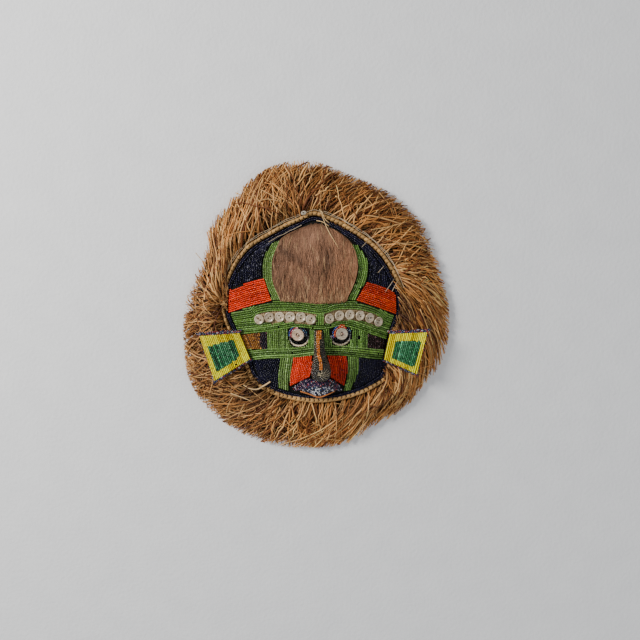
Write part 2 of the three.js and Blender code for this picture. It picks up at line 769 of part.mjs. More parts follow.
function addEyes() {
  const onCloth = (x, y) => faceHeight(x, y) + seamGap;
  const seat = { radius: eyeButtonRadius, turn: eyeButtonTurn, lean: 0, rise: eyeButtonRise };
  for (const [side, eye] of Object.entries(eyes)) {
    addButton(`eye_button_${side}`, eye.button, seat);
    const places = arcPlaces(eye.button, eyeBeadRadius, eye.beads, eyeBeadSteps);
    const beads = stringGeometry(places, onCloth, eyeBeadWidth, eyeBeadHeight);
    addPiece(`eye_beads_${side}`, beads, colours.red, 0.4);
  }
}

// Nose: half-round sections on the face, with the ridge off the middle, and its bead line on top
function noseSection([y, middle, half, ridge, height]) {
  const outer = [];
  for (let i = 0; i <= noseSides; i += 1) {
    const angle = Math.PI * (1 - i / noseSides);
    const shift = (ridge - middle) * Math.sin(angle) ** 2;
    const x = middle + half * Math.cos(angle) + shift;
    outer.push([x, y, faceHeight(x, y) + seamGap + noseFoot + height * Math.sin(angle) ** noseRoundness]);
  }
  const base = noseBase.map((share) => {
    const x = middle + half * share;
    return [x, y, faceHeight(x, y) + seamGap];
  });
  return [...outer, ...base];
}

function addNose() {
  addPiece("nose_beads", loftGeometry(noseStations.map(noseSection)), colours.nose, 0.3);
  const line = noseStations.slice(0, ridgeStations);
  const places = line.map(([y, , , ridge]) => [ridge, y]);
  const tops = new Map(line.map(([y, , , ridge, height]) => [y, faceHeight(ridge, y) + height]));
  const onNose = (x, y) => tops.get(y) + seamGap + noseFoot + ridgeRise;
  addPiece("nose_ridge_beads", stringGeometry(places, onNose, ridgeWidth, ridgeHeight), colours.orange, 0.35);
}

// Mouth: an upper lip that rises to its edge, a lower inner part, and a cord below
function addMouth() {
  const bulge = (u) => Math.sin(Math.PI * Math.min(1 - lipEndShare, Math.max(lipEndShare, u)));
  addField("mouth_upper_lip", colours.navy, {
    from: through(
      [-21.6, -93.8], [-13, -91], [-5.4, -86.8], [4.6, -85], [15, -86.6], [23, -90.8], [30.4, -94.4],
    ),
    to: through(
      [-23.6, -91.2], [-16.4, -84.6], [-9, -80.2], [-2, -80.4], [9, -81.4], [18.6, -80], [26, -84],
      [32.6, -92.2],
    ),
    lift: (u, v) => lipRoot + (lipRise - lipRoot) * (1 - v) * bulge(u),
  });
  addField("mouth_inner", colours.blue, {
    from: through([-12.8, -93.4], [-4.8, -96.4], [6.2, -100], [15.8, -97], [24, -93.6]),
    to: through([-12.8, -92], [-5.2, -87.8], [4.6, -86], [15, -87.6], [22.4, -91.6]),
    lift: (u, v) => mouthChin + (mouthFloor - mouthChin) * v,
  });
  const edge = through([-15, -95], [-5, -98.6], [6.2, -102.4], [16, -99.4], [26, -95.4]);
  const chinTop = faceHeight(...edge(0.5)) + seamGap + mouthChin + beadValley;
  const underCord = () => chinTop - lipCordRadius;
  const places = evenPlaces(lipCordSteps).map(edge);
  const geometry = stringGeometry(places, underCord, 2 * lipCordRadius, 2 * lipCordRadius);
  addPiece("mouth_lip_cord", geometry, colours.cord, 0.6);
}

// Corners moved towards their middle by a share of the way
function shrink(corners, share) {
  const mean = (axis) => corners.reduce((sum, corner) => sum + corner[axis], 0) / corners.length;
  const middle = [mean(0), mean(1)];
  return corners.map((corner) => corner.map((value, axis) => value + (middle[axis] - value) * share));
}

// A plate over plan corners, on the ear's own slope
function plateGeometry(corners, heightAt, thickness) {
  const shape = new THREE.Shape(corners.map(([x, y]) => new THREE.Vector2(x, y)));
  const geometry = new THREE.ExtrudeGeometry(shape, { depth: thickness, bevelEnabled: false });
  const places = geometry.attributes.position;
  for (let i = 0; i < places.count; i += 1) {
    places.setZ(i, places.getZ(i) + heightAt(places.getX(i), places.getY(i)));
  }
  return weldedGeometry(geometry);
}

// A string of beads on three sides of the ear, all but the one at the face
function earEdge(panel, heightAt) {
  const [top, outer, bottom, inner] = shrink(panel, earEdgeInset);
  const places = [];
  for (const [a, b] of [[top, outer], [outer, bottom], [bottom, inner]]) {
    for (let i = 0; i < earEdgeSteps; i += 1) {
      const share = i / earEdgeSteps;
      places.push([a[0] + (b[0] - a[0]) * share, a[1] + (b[1] - a[1]) * share]);
    }
  }
  places.push(inner);
  return stringGeometry(places, heightAt, earEdgeWidth, earBeadHeight);
}

function addEar(side, { panel, centre }) {
  const inward = Math.abs(panel[0][0]);
  const slope = (x) => earSeat + earTilt * (Math.abs(x) - inward);
  const onPanel = (x) => slope(x) + earThickness + earBeadGap;
  const border = toSolid(plateGeometry(shrink(panel, earBorderInset), onPanel, earBeadHeight));
  const window = toSolid(prismGeometry(shrink(centre, earWindowInset), cutLow, cutHigh));
  const field = plateGeometry(shrink(centre, earFieldInset), onPanel, earBeadHeight);
  addPiece(`ear_panel_${side}`, plateGeometry(panel, slope, earThickness), colours.cloth);
  addPiece(`ear_yellow_${side}`, fromSolid(border.subtract(window)), colours.yellow, 0.35);
  addPiece(`ear_green_${side}`, field, colours.emerald, 0.35);
  addPiece(`ear_edge_beads_${side}`, earEdge(panel, onPanel), colours.blue, 0.4);
}

function addKnot() {
  const knot = weldedGeometry(new THREE.IcosahedronGeometry(1, 1));
  knot.scale(...knotSize);
  const mesh = addPiece("thread_knot", knot, colours.thread);
  mesh.position.set(...knotPlace, braidTop + knotSize[2] + knotGap);
}

addCloth();
addFringe();
addBraid();
addBorder();
addHide();
addForeheadBeads();
addBrow();
addEyeLevelBeads();
addCheekBeads();
addBrowButtons();
addEyes();
addNose();
addMouth();
addEar("left", leftEar);
addEar("right", rightEar);
addKnot();

// The origin is the middle of the underside
const bounds = new THREE.Box3().setFromObject(mask);
const middle = bounds.getCenter(new THREE.Vector3());
mask.position.set(-middle.x, -middle.y, -bounds.min.z);

export default mask;
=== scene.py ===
import math

import bpy
import numpy as np
from mathutils import Matrix, Vector


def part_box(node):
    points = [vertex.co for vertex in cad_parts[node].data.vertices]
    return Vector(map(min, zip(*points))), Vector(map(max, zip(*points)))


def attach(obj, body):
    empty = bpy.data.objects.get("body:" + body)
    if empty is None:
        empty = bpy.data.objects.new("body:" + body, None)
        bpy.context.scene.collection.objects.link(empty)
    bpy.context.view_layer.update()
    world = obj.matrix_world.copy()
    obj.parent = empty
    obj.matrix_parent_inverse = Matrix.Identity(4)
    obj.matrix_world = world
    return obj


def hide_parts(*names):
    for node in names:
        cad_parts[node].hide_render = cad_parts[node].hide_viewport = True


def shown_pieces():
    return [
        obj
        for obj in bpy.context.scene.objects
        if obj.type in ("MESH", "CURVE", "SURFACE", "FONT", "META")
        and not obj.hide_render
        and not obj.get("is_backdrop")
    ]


# A beaded raffia mask that lies on its back. Plan places are in millimetres from the middle of the face,
# as in the CAD source.
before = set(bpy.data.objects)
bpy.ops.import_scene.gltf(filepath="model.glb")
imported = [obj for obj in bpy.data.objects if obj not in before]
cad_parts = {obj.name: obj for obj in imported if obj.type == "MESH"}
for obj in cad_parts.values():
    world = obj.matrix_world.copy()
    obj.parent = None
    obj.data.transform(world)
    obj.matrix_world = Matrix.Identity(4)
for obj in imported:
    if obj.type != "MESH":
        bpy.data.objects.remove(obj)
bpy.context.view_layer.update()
rng = np.random.default_rng(11)

# The knot is symmetric, so the middle of its box gives the shift from face places to the frame
knot = {
    "place": (-11.0, 107.5), "height": 27.7, "loops": 9, "sizes": (0.6, 1.0), "half": (2.9, 2.0),
    "across": 1.2, "facing": (0.3, 0.2, 1.0), "thread": 0.5, "colour": (0.5, 0.46, 0.38),
}
knotLow, knotHigh = (np.array(corner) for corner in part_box("thread_knot"))
planShift = (knotLow + knotHigh)[:2] / 2 - np.array(knot["place"]) / 1000

# Face form: the rim's outline, the dome and the crease
rimPoints = [
    (101, 2), (99, 17), (90, 37), (70, 65.5), (45, 84.5), (18, 98.5), (1, 104), (-17, 97), (-47, 82.5),
    (-74, 65.5), (-92, 40), (-101, 14), (-101, -5), (-90, -32), (-76, -63), (-69, -81), (-52, -93.5),
    (-20, -104), (5, -107), (40, -101.5), (69, -88.5), (82, -78), (85.5, -56), (92, -26),
]
fringePoints = [
    (154, 0), (150, 22), (141, 52), (132, 78), (116, 103), (93, 124), (62, 140), (34, 151), (0, 163),
    (-37, 161), (-70, 144), (-95, 120), (-119, 88), (-123, 64), (-139, 28), (-148, -8), (-149, -46),
    (-144, -84), (-122, -119), (-89, -145), (-54, -160), (-8, -164), (36, -160), (74, -137), (108, -116),
    (132, -87), (150, -56), (155, -20),
]
dome = {"rimTop": 21.5, "rise": 24.0, "power": 2.2, "widest": 1.15}
crease = {
    "rise": 6.0, "width": 12.0, "round": 2.0, "end": 0.96, "fade": 4, "middle": (9.5, 10.0),
    "topShift": -8.5, "chinShift": -3.5, "topY": 104.0, "chinY": -107.0,
}


upright = (0.0, 0.0, 1.0)


def toFrame(points):
    placed = np.asarray(points, float) / 1000
    placed[:, :2] += planShift
    return placed


def unit(vectors):
    return vectors / np.maximum(1e-9, np.linalg.norm(vectors, axis=-1, keepdims=True))


# Cubic from a first place to a second, with the ways it leaves and arrives
def cubic(t, first, leave, second, arrive):
    start = (2 * t**3 - 3 * t**2 + 1) * first + (t**3 - 2 * t**2 + t) * leave
    return start + (3 * t**2 - 2 * t**3) * second + (t**3 - t**2) * arrive


# Places round the middle by radius, angle and, where it is given, height
def aroundMiddle(radius, turn, *height):
    return np.stack([radius * np.cos(turn), radius * np.sin(turn), *height], -1)


def evenAngles(count):
    return np.arange(count) * 2 * math.pi / count


# Radius of a closed outline as a cubic in the angle between its points, with slopes from the neighbours
def outlineRadius(points):
    plan = np.array(points, float)
    angle = np.arctan2(plan[:, 1], plan[:, 0])
    order = np.argsort(angle)
    size = np.hypot(plan[:, 0], plan[:, 1])[order]
    angle = angle[order]
    turn = 2 * math.pi
    knots = np.concatenate([angle[-2:] - turn, angle, angle[:3] + turn])
    radii = np.concatenate([size[-2:], size, size[:3]])
    slopes = np.zeros(len(knots))
    slopes[1:-1] = (radii[2:] - radii[:-2]) / (knots[2:] - knots[:-2])

    def radius(at):
        at = knots[2] + np.mod(np.asarray(at, float) - knots[2], turn)
        i = np.clip(np.searchsorted(knots, at, side="right") - 1, 2, len(knots) - 4)
        span = knots[i + 1] - knots[i]
        t = (at - knots[i]) / span
        return cubic(t, radii[i], span * slopes[i], radii[i + 1], span * slopes[i + 1])

    return radius


rimRadius = outlineRadius(rimPoints)
fringeRadius = outlineRadius(fringePoints)


def creaseX(y):
    middleX, middleY = crease["middle"]
    up = y > middleY
    reach = np.where(up, crease["topY"] - middleY, crease["chinY"] - middleY)
    shift = np.where(up, crease["topShift"], crease["chinShift"])
    return middleX + shift * ((y - middleY) / reach) ** 2


# Height: the rim, plus a dome that falls with a power of the share of the radius, plus a crease that
# falls off with the distance from its line and fades out at the rim
def faceHeight(x, y):
    share = np.minimum(dome["widest"], np.hypot(x, y) / rimRadius(np.arctan2(y, x)))
    off = np.hypot(x - creaseX(y), crease["round"]) - crease["round"]
    kept = np.maximum(0, 1 - (share / crease["end"]) ** crease["fade"])
    ridge = crease["rise"] * np.exp(-off / crease["width"]) * kept
    return dome["rimTop"] + dome["rise"] * (1 - share ** dome["power"]) + ridge


def faceNormal(x, y, step=0.6):
    slopeX = (faceHeight(x + step, y) - faceHeight(x - step, y)) / (2 * step)
    slopeY = (faceHeight(x, y + step) - faceHeight(x, y - step)) / (2 * step)
    return unit(np.stack([-slopeX, -slopeY, np.ones_like(slopeX)], -1))


# Places on the face, raised by a lift
def onFace(x, y, lift):
    return np.stack([x, y, faceHeight(x, y) + lift], -1)


def interpolate(at, runs, values):
    return np.column_stack([np.interp(at, runs, column) for column in np.asarray(values, float).T])


# A value from a table of places and values, straight between them
def byTable(at, table):
    return np.interp(at, *zip(*table))


def bell(away, spread):
    return np.exp(-((away / spread) ** 2))


def lengthsAlong(line):
    return np.concatenate([[0], np.cumsum(np.linalg.norm(np.diff(line, axis=0), axis=1))])


# Even places along a line of points, by its length
def resample(line, count):
    runs = lengthsAlong(line)
    return interpolate(np.linspace(0, runs[-1], count), runs, line)


# Smooth curve through points: a centripetal Catmull-Rom curve, resampled by length
def through(*points, count=200, perSpan=24):
    line = np.array(points, float)
    line = np.vstack([2 * line[0] - line[1], line, 2 * line[-1] - line[-2]])
    t = np.linspace(0, 1, perSpan)[:, None]
    runs = []
    for a, b, c, d in zip(line, line[1:], line[2:], line[3:]):
        ab, bc, cd = (math.sqrt(np.linalg.norm(q - p)) for p, q in ((a, b), (b, c), (c, d)))
        leave = bc * ((b - a) / ab - (c - a) / (ab + bc) + (c - b) / bc)
        arrive = bc * ((c - b) / bc - (d - b) / (bc + cd) + (d - c) / cd)
        runs.append(cubic(t, b, leave, c, arrive))
    return resample(np.vstack(runs), count)


# Stretch of the rim between the angles of two plan points, set in towards the middle
def alongRim(start, end, inset, count=200):
    first = math.atan2(start[1], start[0])
    turned = (math.atan2(end[1], end[0]) - first + math.pi) % (2 * math.pi) - math.pi
    angle = first + turned * np.linspace(0, 1, count)
    return resample(aroundMiddle(rimRadius(angle) - inset, angle), count)


# Corners of the cells between rings of points: two of one ring, then two of the next
def ringCells(rings, around, loop=False):
    k = np.arange(around)
    n = (k + 1) % around
    r = np.arange(rings if loop else rings - 1)[:, None]
    low, high = r * around, (r + 1) % rings * around
    return np.stack([low + k, low + n, high + n, high + k], -1).reshape(-1, 4)


# Rings of a profile carried along many paths at once; sides and ups are already scaled
def sweep(paths, sides, ups, profile, loop=False):
    count, rings = paths.shape[:2]
    around = len(profile)
    points = (
        paths[:, :, None] + profile[:, 0, None] * sides[:, :, None] + profile[:, 1, None] * ups[:, :, None]
    )
    k = np.arange(around)
    first = np.arange(count)[:, None] * rings * around
    faces = [(first[:, :, None] + ringCells(rings, around, loop)).reshape(-1, 4)]
    if not loop:
        faces.append(np.concatenate([first + k[::-1], first + (rings - 1) * around + k]))
    return points.reshape(-1, 3), faces


def ringProfile(sides):
    angle = evenAngles(sides)
    return np.column_stack([np.cos(angle), np.sin(angle)])


# Sides and ups for paths, square to each path and turned towards the given normals
def pathFrames(paths, normals=upright, loop=False):
    along = np.roll(paths, -1, axis=1) - np.roll(paths, 1, axis=1) if loop else np.gradient(paths, axis=1)
    sides = unit(np.cross(np.broadcast_to(normals, paths.shape), along))
    return sides, unit(np.cross(along, sides))


# Tubes along paths: a profile scaled by its half width and half height, turned towards the normals
def tubes(paths, wide, high, profile, normals=upright, loop=False):
    sides, ups = pathFrames(paths, normals, loop)
    return sweep(paths, wide * sides, high * ups, profile, loop)


# Closed sheet from a grid of top points and a grid of low points, wound so that the top faces out
def closedSheet(top, low):
    rows, columns = top.shape[:2]
    across = np.cross(top[1, 0] - top[0, 0], top[0, 1] - top[0, 0])
    if across[2] < 0:
        top, low = top[::-1], low[::-1]
    i, j = np.meshgrid(np.arange(rows - 1), np.arange(columns - 1), indexing="ij")
    corner = i * columns + j
    upper = np.stack([corner, corner + columns, corner + columns + 1, corner + 1], -1).reshape(-1, 4)
    lower = upper[:, ::-1] + rows * columns
    loop = np.concatenate([
        np.arange(columns), np.arange(1, rows) * columns + columns - 1,
        (rows - 1) * columns + np.arange(columns - 2, -1, -1), np.arange(rows - 2, 0, -1) * columns,
    ])
    following = np.roll(loop, -1)
    walls = np.stack([loop, following, following + rows * columns, loop + rows * columns], -1)
    points = np.concatenate([top.reshape(-1, 3), low.reshape(-1, 3)])
    return points, [upper, lower, walls]


# Materials: a plain shader with its constant values on its own sockets
def newMaterial(name, roughness, sockets):
    material = bpy.data.materials.new(name)
    material.use_nodes = True
    tree = material.node_tree
    shader = tree.nodes["Principled BSDF"]
    shader.inputs["Roughness"].default_value = roughness
    for socket, value in sockets.items():
        shader.inputs[socket].default_value = value
    return material, tree, shader


def objectNoise(tree, scale, detail=3.0, stretch=(1, 1, 1)):
    place = tree.nodes.new("ShaderNodeTexCoord")
    mapping = tree.nodes.new("ShaderNodeMapping")
    mapping.inputs["Scale"].default_value = stretch
    noise = tree.nodes.new("ShaderNodeTexNoise")
    noise.inputs["Scale"].default_value = scale
    noise.inputs["Detail"].default_value = detail
    tree.links.new(place.outputs["Object"], mapping.inputs["Vector"])
    tree.links.new(mapping.outputs["Vector"], noise.inputs["Vector"])
    return noise.outputs["Fac"]


# Input 0 of the mix is its factor, 6 and 7 are its two colours, and output 2 is the product
def multiply(tree, first, second):
    mix = tree.nodes.new("ShaderNodeMix")
    mix.data_type = "RGBA"
    mix.blend_type = "MULTIPLY"
    mix.inputs[0].default_value = 1.0
    tree.links.new(first, mix.inputs[6])
    tree.links.new(second, mix.inputs[7])
    return mix.outputs[2]


def ramp(tree, source, stops):
    node = tree.nodes.new("ShaderNodeValToRGB")
    elements = node.color_ramp.elements
    for element, (position, colour) in zip(elements, (stops[0], stops[-1])):
        element.position = position
        element.color = (*colour, 1)
    for position, colour in stops[1:-1]:
        elements.new(position).color = (*colour, 1)
    tree.links.new(source, node.inputs["Fac"])
    return node.outputs["Color"]


def finishLook(tree, shader, colour, height, strength, distance):
    bump = tree.nodes.new("ShaderNodeBump")
    bump.inputs["Strength"].default_value = strength
    bump.inputs["Distance"].default_value = distance
    tree.links.new(height, bump.inputs["Height"])
    tree.links.new(bump.outputs["Normal"], shader.inputs["Normal"])
    tree.links.new(colour, shader.inputs["Base Color"])


def tintOf(tree):
    attribute = tree.nodes.new("ShaderNodeAttribute")
    attribute.attribute_name = "tint"
    return attribute.outputs["Color"]


# The piece's own tints under a slow stain and a fine grain
def tintedMaterial(name, roughness, grain, bump, sockets):
    material, tree, shader = newMaterial(name, roughness, sockets)
    slow = ramp(tree, objectNoise(tree, stain["scale"]), stain["stops"])
    fine = objectNoise(tree, grain["scale"], 4.0)
    shade = ramp(tree, fine, grain["stops"])
    colour = multiply(tree, multiply(tree, tintOf(tree), slow), shade)
    finishLook(tree, shader, colour, fine, bump, bumpDepth)
    return material


# Plain weave: two crossed bands, of which the higher shows, over the cloth's own tints
def weaveMaterial(name):
    material, tree, shader = newMaterial(name, 0.9, {"Specular IOR Level": 0.12})
    place = tree.nodes.new("ShaderNodeTexCoord")
    over = tree.nodes.new("ShaderNodeMath")
    over.operation = "MAXIMUM"
    for index, direction in enumerate("XY"):
        wave = tree.nodes.new("ShaderNodeTexWave")
        wave.bands_direction = direction
        for socket, value in weave["bands"].items():
            wave.inputs[socket].default_value = value
        tree.links.new(place.outputs["Object"], wave.inputs["Vector"])
        tree.links.new(wave.outputs["Fac"], over.inputs[index])
    shade = ramp(tree, over.outputs[0], weave["shade"])
    stained = ramp(tree, objectNoise(tree, weave["stainScale"]), weave["stain"])
    colour = multiply(tree, multiply(tree, tintOf(tree), shade), stained)
    finishLook(tree, shader, colour, over.outputs[0], 0.7, weave["depth"])
    return material


# Mother-of-pearl: cream with cloudy darker bands under a soft coat
def pearlMaterial():
    material, tree, shader = newMaterial("pearl", 0.3, {"Coat Weight": 0.4, "Coat Roughness": 0.15})
    cloud = objectNoise(tree, pearl["scale"], 4.0, pearl["stretch"])
    colour = multiply(tree, ramp(tree, cloud, pearl["cream"]), tintOf(tree))
    finishLook(tree, shader, colour, cloud, 0.12, bumpDepth)
    return material


# Scales are in waves per metre, and each stop of a ramp is a place and a colour
bumpDepth = 0.0003
stain = {"scale": 40.0, "stops": [(0.3, (0.74, 0.70, 0.66)), (0.68, (1, 1, 1))]}
fibre = {"scale": 1100.0, "stops": [(0.25, (0.66, 0.58, 0.48)), (0.72, (1.15, 1.12, 1.08))]}
glass = {"scale": 900.0, "stops": [(0.25, (0.85, 0.85, 0.85)), (0.72, (1.08, 1.08, 1.08))]}
weave = {
    "bands": {"Scale": 760.0 / 6.28, "Distortion": 1.2, "Detail": 2.0, "Detail Scale": 1.5}, "depth": 0.0005,
    "shade": [(0.4, (0.42, 0.36, 0.28)), (0.95, (1, 1, 1))],
    "stainScale": 55.0, "stain": [(0.3, (0.74, 0.68, 0.58)), (0.7, (1, 1, 1))],
}
pearl = {
    "scale": 260.0, "stretch": (1, 2.2, 1),
    "cream": [(0.3, (0.34, 0.25, 0.16)), (0.5, (0.58, 0.49, 0.35)), (0.68, (0.76, 0.70, 0.58))],
}
looks = {
    "bead": tintedMaterial("bead_glass", 0.22, glass, 0.1, {"Specular IOR Level": 0.35}),
    "gloss": tintedMaterial("bead_glossy", 0.16, glass, 0.05, {"Coat Weight": 0.3, "Coat Roughness": 0.06}),
    "satin": tintedMaterial("bead_opaque", 0.42, glass, 0.1, {"Specular IOR Level": 0.18}),
    "dark": tintedMaterial("bead_dark_glass", 0.16, glass, 0.05, {"Specular IOR Level": 0.25}),
    "raffia": tintedMaterial("raffia_strand", 0.55, fibre, 0.4, {"Specular IOR Level": 0.3}),
    "braid": tintedMaterial("raffia_braid", 0.75, fibre, 0.6, {"Specular IOR Level": 0.3}),
    "fur": tintedMaterial("hide_fur", 0.6, fibre, 0.3, {"Specular IOR Level": 0.3}),
    "thread": tintedMaterial("cotton_thread", 0.8, fibre, 0.5, {"Sheen Weight": 0.25}),
    "cloth": weaveMaterial("raffia_cloth"),
    "pearl": pearlMaterial(),
}


# A bare object from points and faces in its own units
def makeObject(name, points, faces, smooth=True):
    mesh = bpy.data.meshes.new(name)
    corners = np.concatenate([f.ravel() for f in faces])
    sizes = np.concatenate([np.full(len(f), f.shape[1]) for f in faces])
    mesh.vertices.add(len(points))
    mesh.vertices.foreach_set("co", np.asarray(points, float).ravel())
    mesh.loops.add(len(corners))
    mesh.loops.foreach_set("vertex_index", corners)
    mesh.polygons.add(len(sizes))
    mesh.polygons.foreach_set("loop_start", np.cumsum(sizes) - sizes)
    mesh.polygons.foreach_set("use_smooth", np.full(len(sizes), smooth))
    mesh.update(calc_edges=True)
    mesh.validate()
    made = bpy.data.objects.new(name, mesh)
    bpy.context.scene.collection.objects.link(made)
    return made


def setTints(mesh, tints):
    rgba = np.ones((len(mesh.vertices), 4))
    rgba[:, :3] = np.clip(tints, 0, 1)
    mesh.color_attributes.new("tint", "FLOAT_COLOR", "POINT").data.foreach_set("color", rgba.ravel())


# A piece from face places in millimetres, with one tint for all or one for each vertex
def makePiece(name, points, faces, look, tints, slot, nodes=()):
    piece = makeObject(name, toFrame(points), faces)
    setTints(piece.data, tints)
    piece.data.materials.append(looks[look])
    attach(piece, "root")
    if nodes:
        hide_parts(*nodes)
    return piece


# The mesh of an object once its modifiers are applied
def appliedMesh(made):
    bpy.context.view_layer.update()
    return bpy.data.meshes.new_from_object(made.evaluated_get(bpy.context.evaluated_depsgraph_get()))


def cutWith(body, cutters):
    for cutter in cutters:
        cut = body.modifiers.new("cut", "BOOLEAN")
        cut.operation = "DIFFERENCE"
        cut.object = cutter
    mesh = appliedMesh(body)
    body.modifiers.clear()
    for cutter in cutters:
        bpy.data.objects.remove(cutter)
    return mesh


# Palettes: each entry is a colour and its share
palettes = {
    "navy": [(0.007, 0.007, 0.021, 6), (0.012, 0.011, 0.034, 3), (0.003, 0.003, 0.007, 3)],
    "green": [(0.112, 0.232, 0.035, 5), (0.165, 0.31, 0.068, 3), (0.064, 0.145, 0.018, 2)],
    "orange": [(0.82, 0.036, 0.001, 6), (0.88, 0.06, 0.002, 3), (0.6, 0.02, 0.001, 2)],
    "bronze": [(0.27, 0.098, 0.016, 5), (0.48, 0.2, 0.036, 3), (0.1, 0.036, 0.01, 3)],
    "brown": [(0.016, 0.007, 0.007, 4), (0.036, 0.018, 0.017, 1)],
    "nose": [(0.054, 0.046, 0.026, 4), (0.115, 0.092, 0.056, 3), (0.014, 0.013, 0.009, 3)],
    "ridge": [(0.56, 0.15, 0.008, 4), (0.66, 0.22, 0.014, 2), (0.3, 0.07, 0.006, 1)],
    "lip": [
        (0.008, 0.007, 0.03, 11), (0.035, 0.01, 0.06, 4), (0.22, 0.09, 0.14, 2), (0.26, 0.02, 0.02, 1),
        (0.4, 0.37, 0.38, 2),
    ],
    "mouth": [(0.005, 0.006, 0.028, 8), (0.74, 0.74, 0.75, 4), (0.04, 0.07, 0.2, 2)],
    "yellow": [(0.9, 0.74, 0.002, 6), (1.0, 0.9, 0.02, 3), (0.66, 0.5, 0.002, 1)],
    "emerald": [(0.024, 0.165, 0.058, 6), (0.075, 0.3, 0.13, 3), (0.012, 0.08, 0.03, 2)],
    "edge": [
        (0.011, 0.018, 0.085, 4), (0.008, 0.009, 0.032, 5), (0.17, 0.01, 0.014, 4), (0.35, 0.35, 0.38, 1),
    ],
    "rose": [(0.48, 0.13, 0.15, 4), (0.56, 0.3, 0.28, 3), (0.42, 0.04, 0.04, 3), (0.1, 0.03, 0.16, 1)],
    "fire": [(0.62, 0.05, 0.018, 5), (0.7, 0.13, 0.03, 3), (0.56, 0.22, 0.16, 2)],
    "blue": [(0.02, 0.05, 0.24, 3), (0.01, 0.014, 0.06, 3), (0.11, 0.05, 0.17, 1)],
    "pit": [(0.006, 0.01, 0.03, 5), (0.003, 0.003, 0.006, 4), (0.012, 0.06, 0.11, 1)],
    "cream": [(0.56, 0.47, 0.3, 3), (0.4, 0.33, 0.22, 1)],
}
rowAlike = {"green": 0.75, "bronze": 0.75, "orange": 0.75, "emerald": 0.8, "yellow": 0.85, "navy": 0.5}
rowSpread = {"green": 0.18, "bronze": 0.25, "orange": 0.12, "yellow": 0.16, "emerald": 0.22}


def drawTints(palette, count, spread=0.14):
    entries = np.array(palettes[palette])
    pick = rng.choice(len(entries), count, p=entries[:, 3] / entries[:, 3].sum())
    return entries[pick, :3] * np.exp(rng.normal(0, spread, (count, 1)))


def mixTints(first, second, mix):
    return np.array(first) * (1 - mix) + np.array(second) * mix


def repaint(tints, chosen, colour, shades=(0.6, 1.0)):
    tints[chosen] = np.array(colour) * rng.uniform(*shades, (chosen.sum(), 1))


# Tints of beads in strings: most beads of a string share its tint, and strings differ
def stringTints(palette, strings, alikeSpread=0.1, plainSpread=0.05):
    spread = rowSpread.get(palette, plainSpread)
    tints = []
    for string in strings:
        own = drawTints(palette, len(string))
        alike = rng.random(len(string)) < rowAlike.get(palette, 0.0)
        own[alike] = drawTints(palette, 1, 0.0)
        own[alike] *= np.exp(rng.normal(0, alikeSpread, (alike.sum(), 1)))
        tints.append(own * math.exp(rng.normal(0, spread)))
    return np.concatenate(tints)


# The same with the palette's own mean
def evenTints(palette, strings):
    tints = stringTints(palette, strings)
    entries = np.array(palettes[palette])
    return tints * np.average(entries[:, :3], axis=0, weights=entries[:, 3]) / tints.mean(axis=0)


# Bead work: the sizes of the beads, the pitch of their rows, and how far they slip, tilt and differ
faceBead = {"radius": 1.02, "length": 1.78, "step": 1.86, "pitch": 2.3}
earBead = {"radius": 0.8, "length": 1.86, "step": 1.8, "pitch": 2.12, "ends": 0.97}
noseBead = {"radius": 0.88, "length": 1.45, "step": 1.56, "pitch": 1.85}
fineBead = {"radius": 0.78, "length": 1.2, "step": 1.3, "pitch": 1.6}
fanBead = {"radius": 0.47, "length": 1.0, "step": 1.1, "pitch": 1.2}
bead = {
    "sides": 6, "ends": 0.8, "slip": 0.05, "rise": 0.06, "tilt": 0.05, "length": 0.07, "radius": 0.05,
    "rings": np.array([-0.5, 0.0, 0.5]), "near": 0.7, "spare": 0.35, "lift": 1.8,
}
field = {"outset": 0.5, "typical": 60, "sway": 0.12, "waves": (8, 20), "phases": (0, 6), "room": 0.3}


# Beads along a path, with small slips and tilts: each row holds a place, an axis and an outward direction
def stringBeads(path, normals, size=faceBead):
    runs = lengthsAlong(path)
    count = int(runs[-1] / size["step"] + bead["spare"])
    if count < 1:
        return np.zeros((0, 9))
    at = (np.arange(count) + 0.5) * runs[-1] / count + rng.normal(0, bead["slip"], count)
    centres = interpolate(at, runs, path)
    axes = unit(interpolate(at + bead["near"], runs, path) - interpolate(at - bead["near"], runs, path))
    ups = unit(interpolate(at, runs, np.broadcast_to(normals, path.shape)))
    slips = rng.normal(0, bead["slip"], (count, 3))
    centres = centres + slips + ups * rng.normal(0, bead["rise"], (count, 1))
    return np.column_stack([centres, axes + rng.normal(0, bead["tilt"], (count, 3)), ups])


# All beads of a piece as barrels of a few sides, narrower at their ends
def beadMesh(beads, size=faceBead):
    centres, axes, ups = beads[:, :3], unit(beads[:, 3:6]), beads[:, 6:]
    sides = unit(np.cross(ups, axes))
    outs = np.cross(axes, sides)
    length = size["length"] * np.exp(rng.normal(0, bead["length"], (len(beads), 1, 1)))
    radius = size["radius"] * np.exp(rng.normal(0, bead["radius"], (len(beads), 1, 1)))
    paths = centres[:, None] + bead["rings"][:, None] * length * axes[:, None]
    ends = size.get("ends", bead["ends"])
    scale = (1 - 2 * (1 - ends) * np.abs(bead["rings"]))[:, None] * radius
    return sweep(paths, scale * sides[:, None], scale * outs[:, None], ringProfile(bead["sides"]))


def beadPiece(name, strings, palette, slot, nodes=(), size=faceBead, look="bead", recolour=None, lost=0.004):
    beads = np.concatenate(strings)
    tints = palette if isinstance(palette, np.ndarray) else stringTints(palette, strings)
    kept = rng.random(len(beads)) > lost
    beads, tints = beads[kept], tints[kept]
    if recolour:
        tints = recolour(beads, tints)
    points, faces = beadMesh(beads, size)
    tints = np.repeat(tints, len(points) // len(beads), axis=0)
    makePiece(name, points, faces, look, tints, slot, nodes)


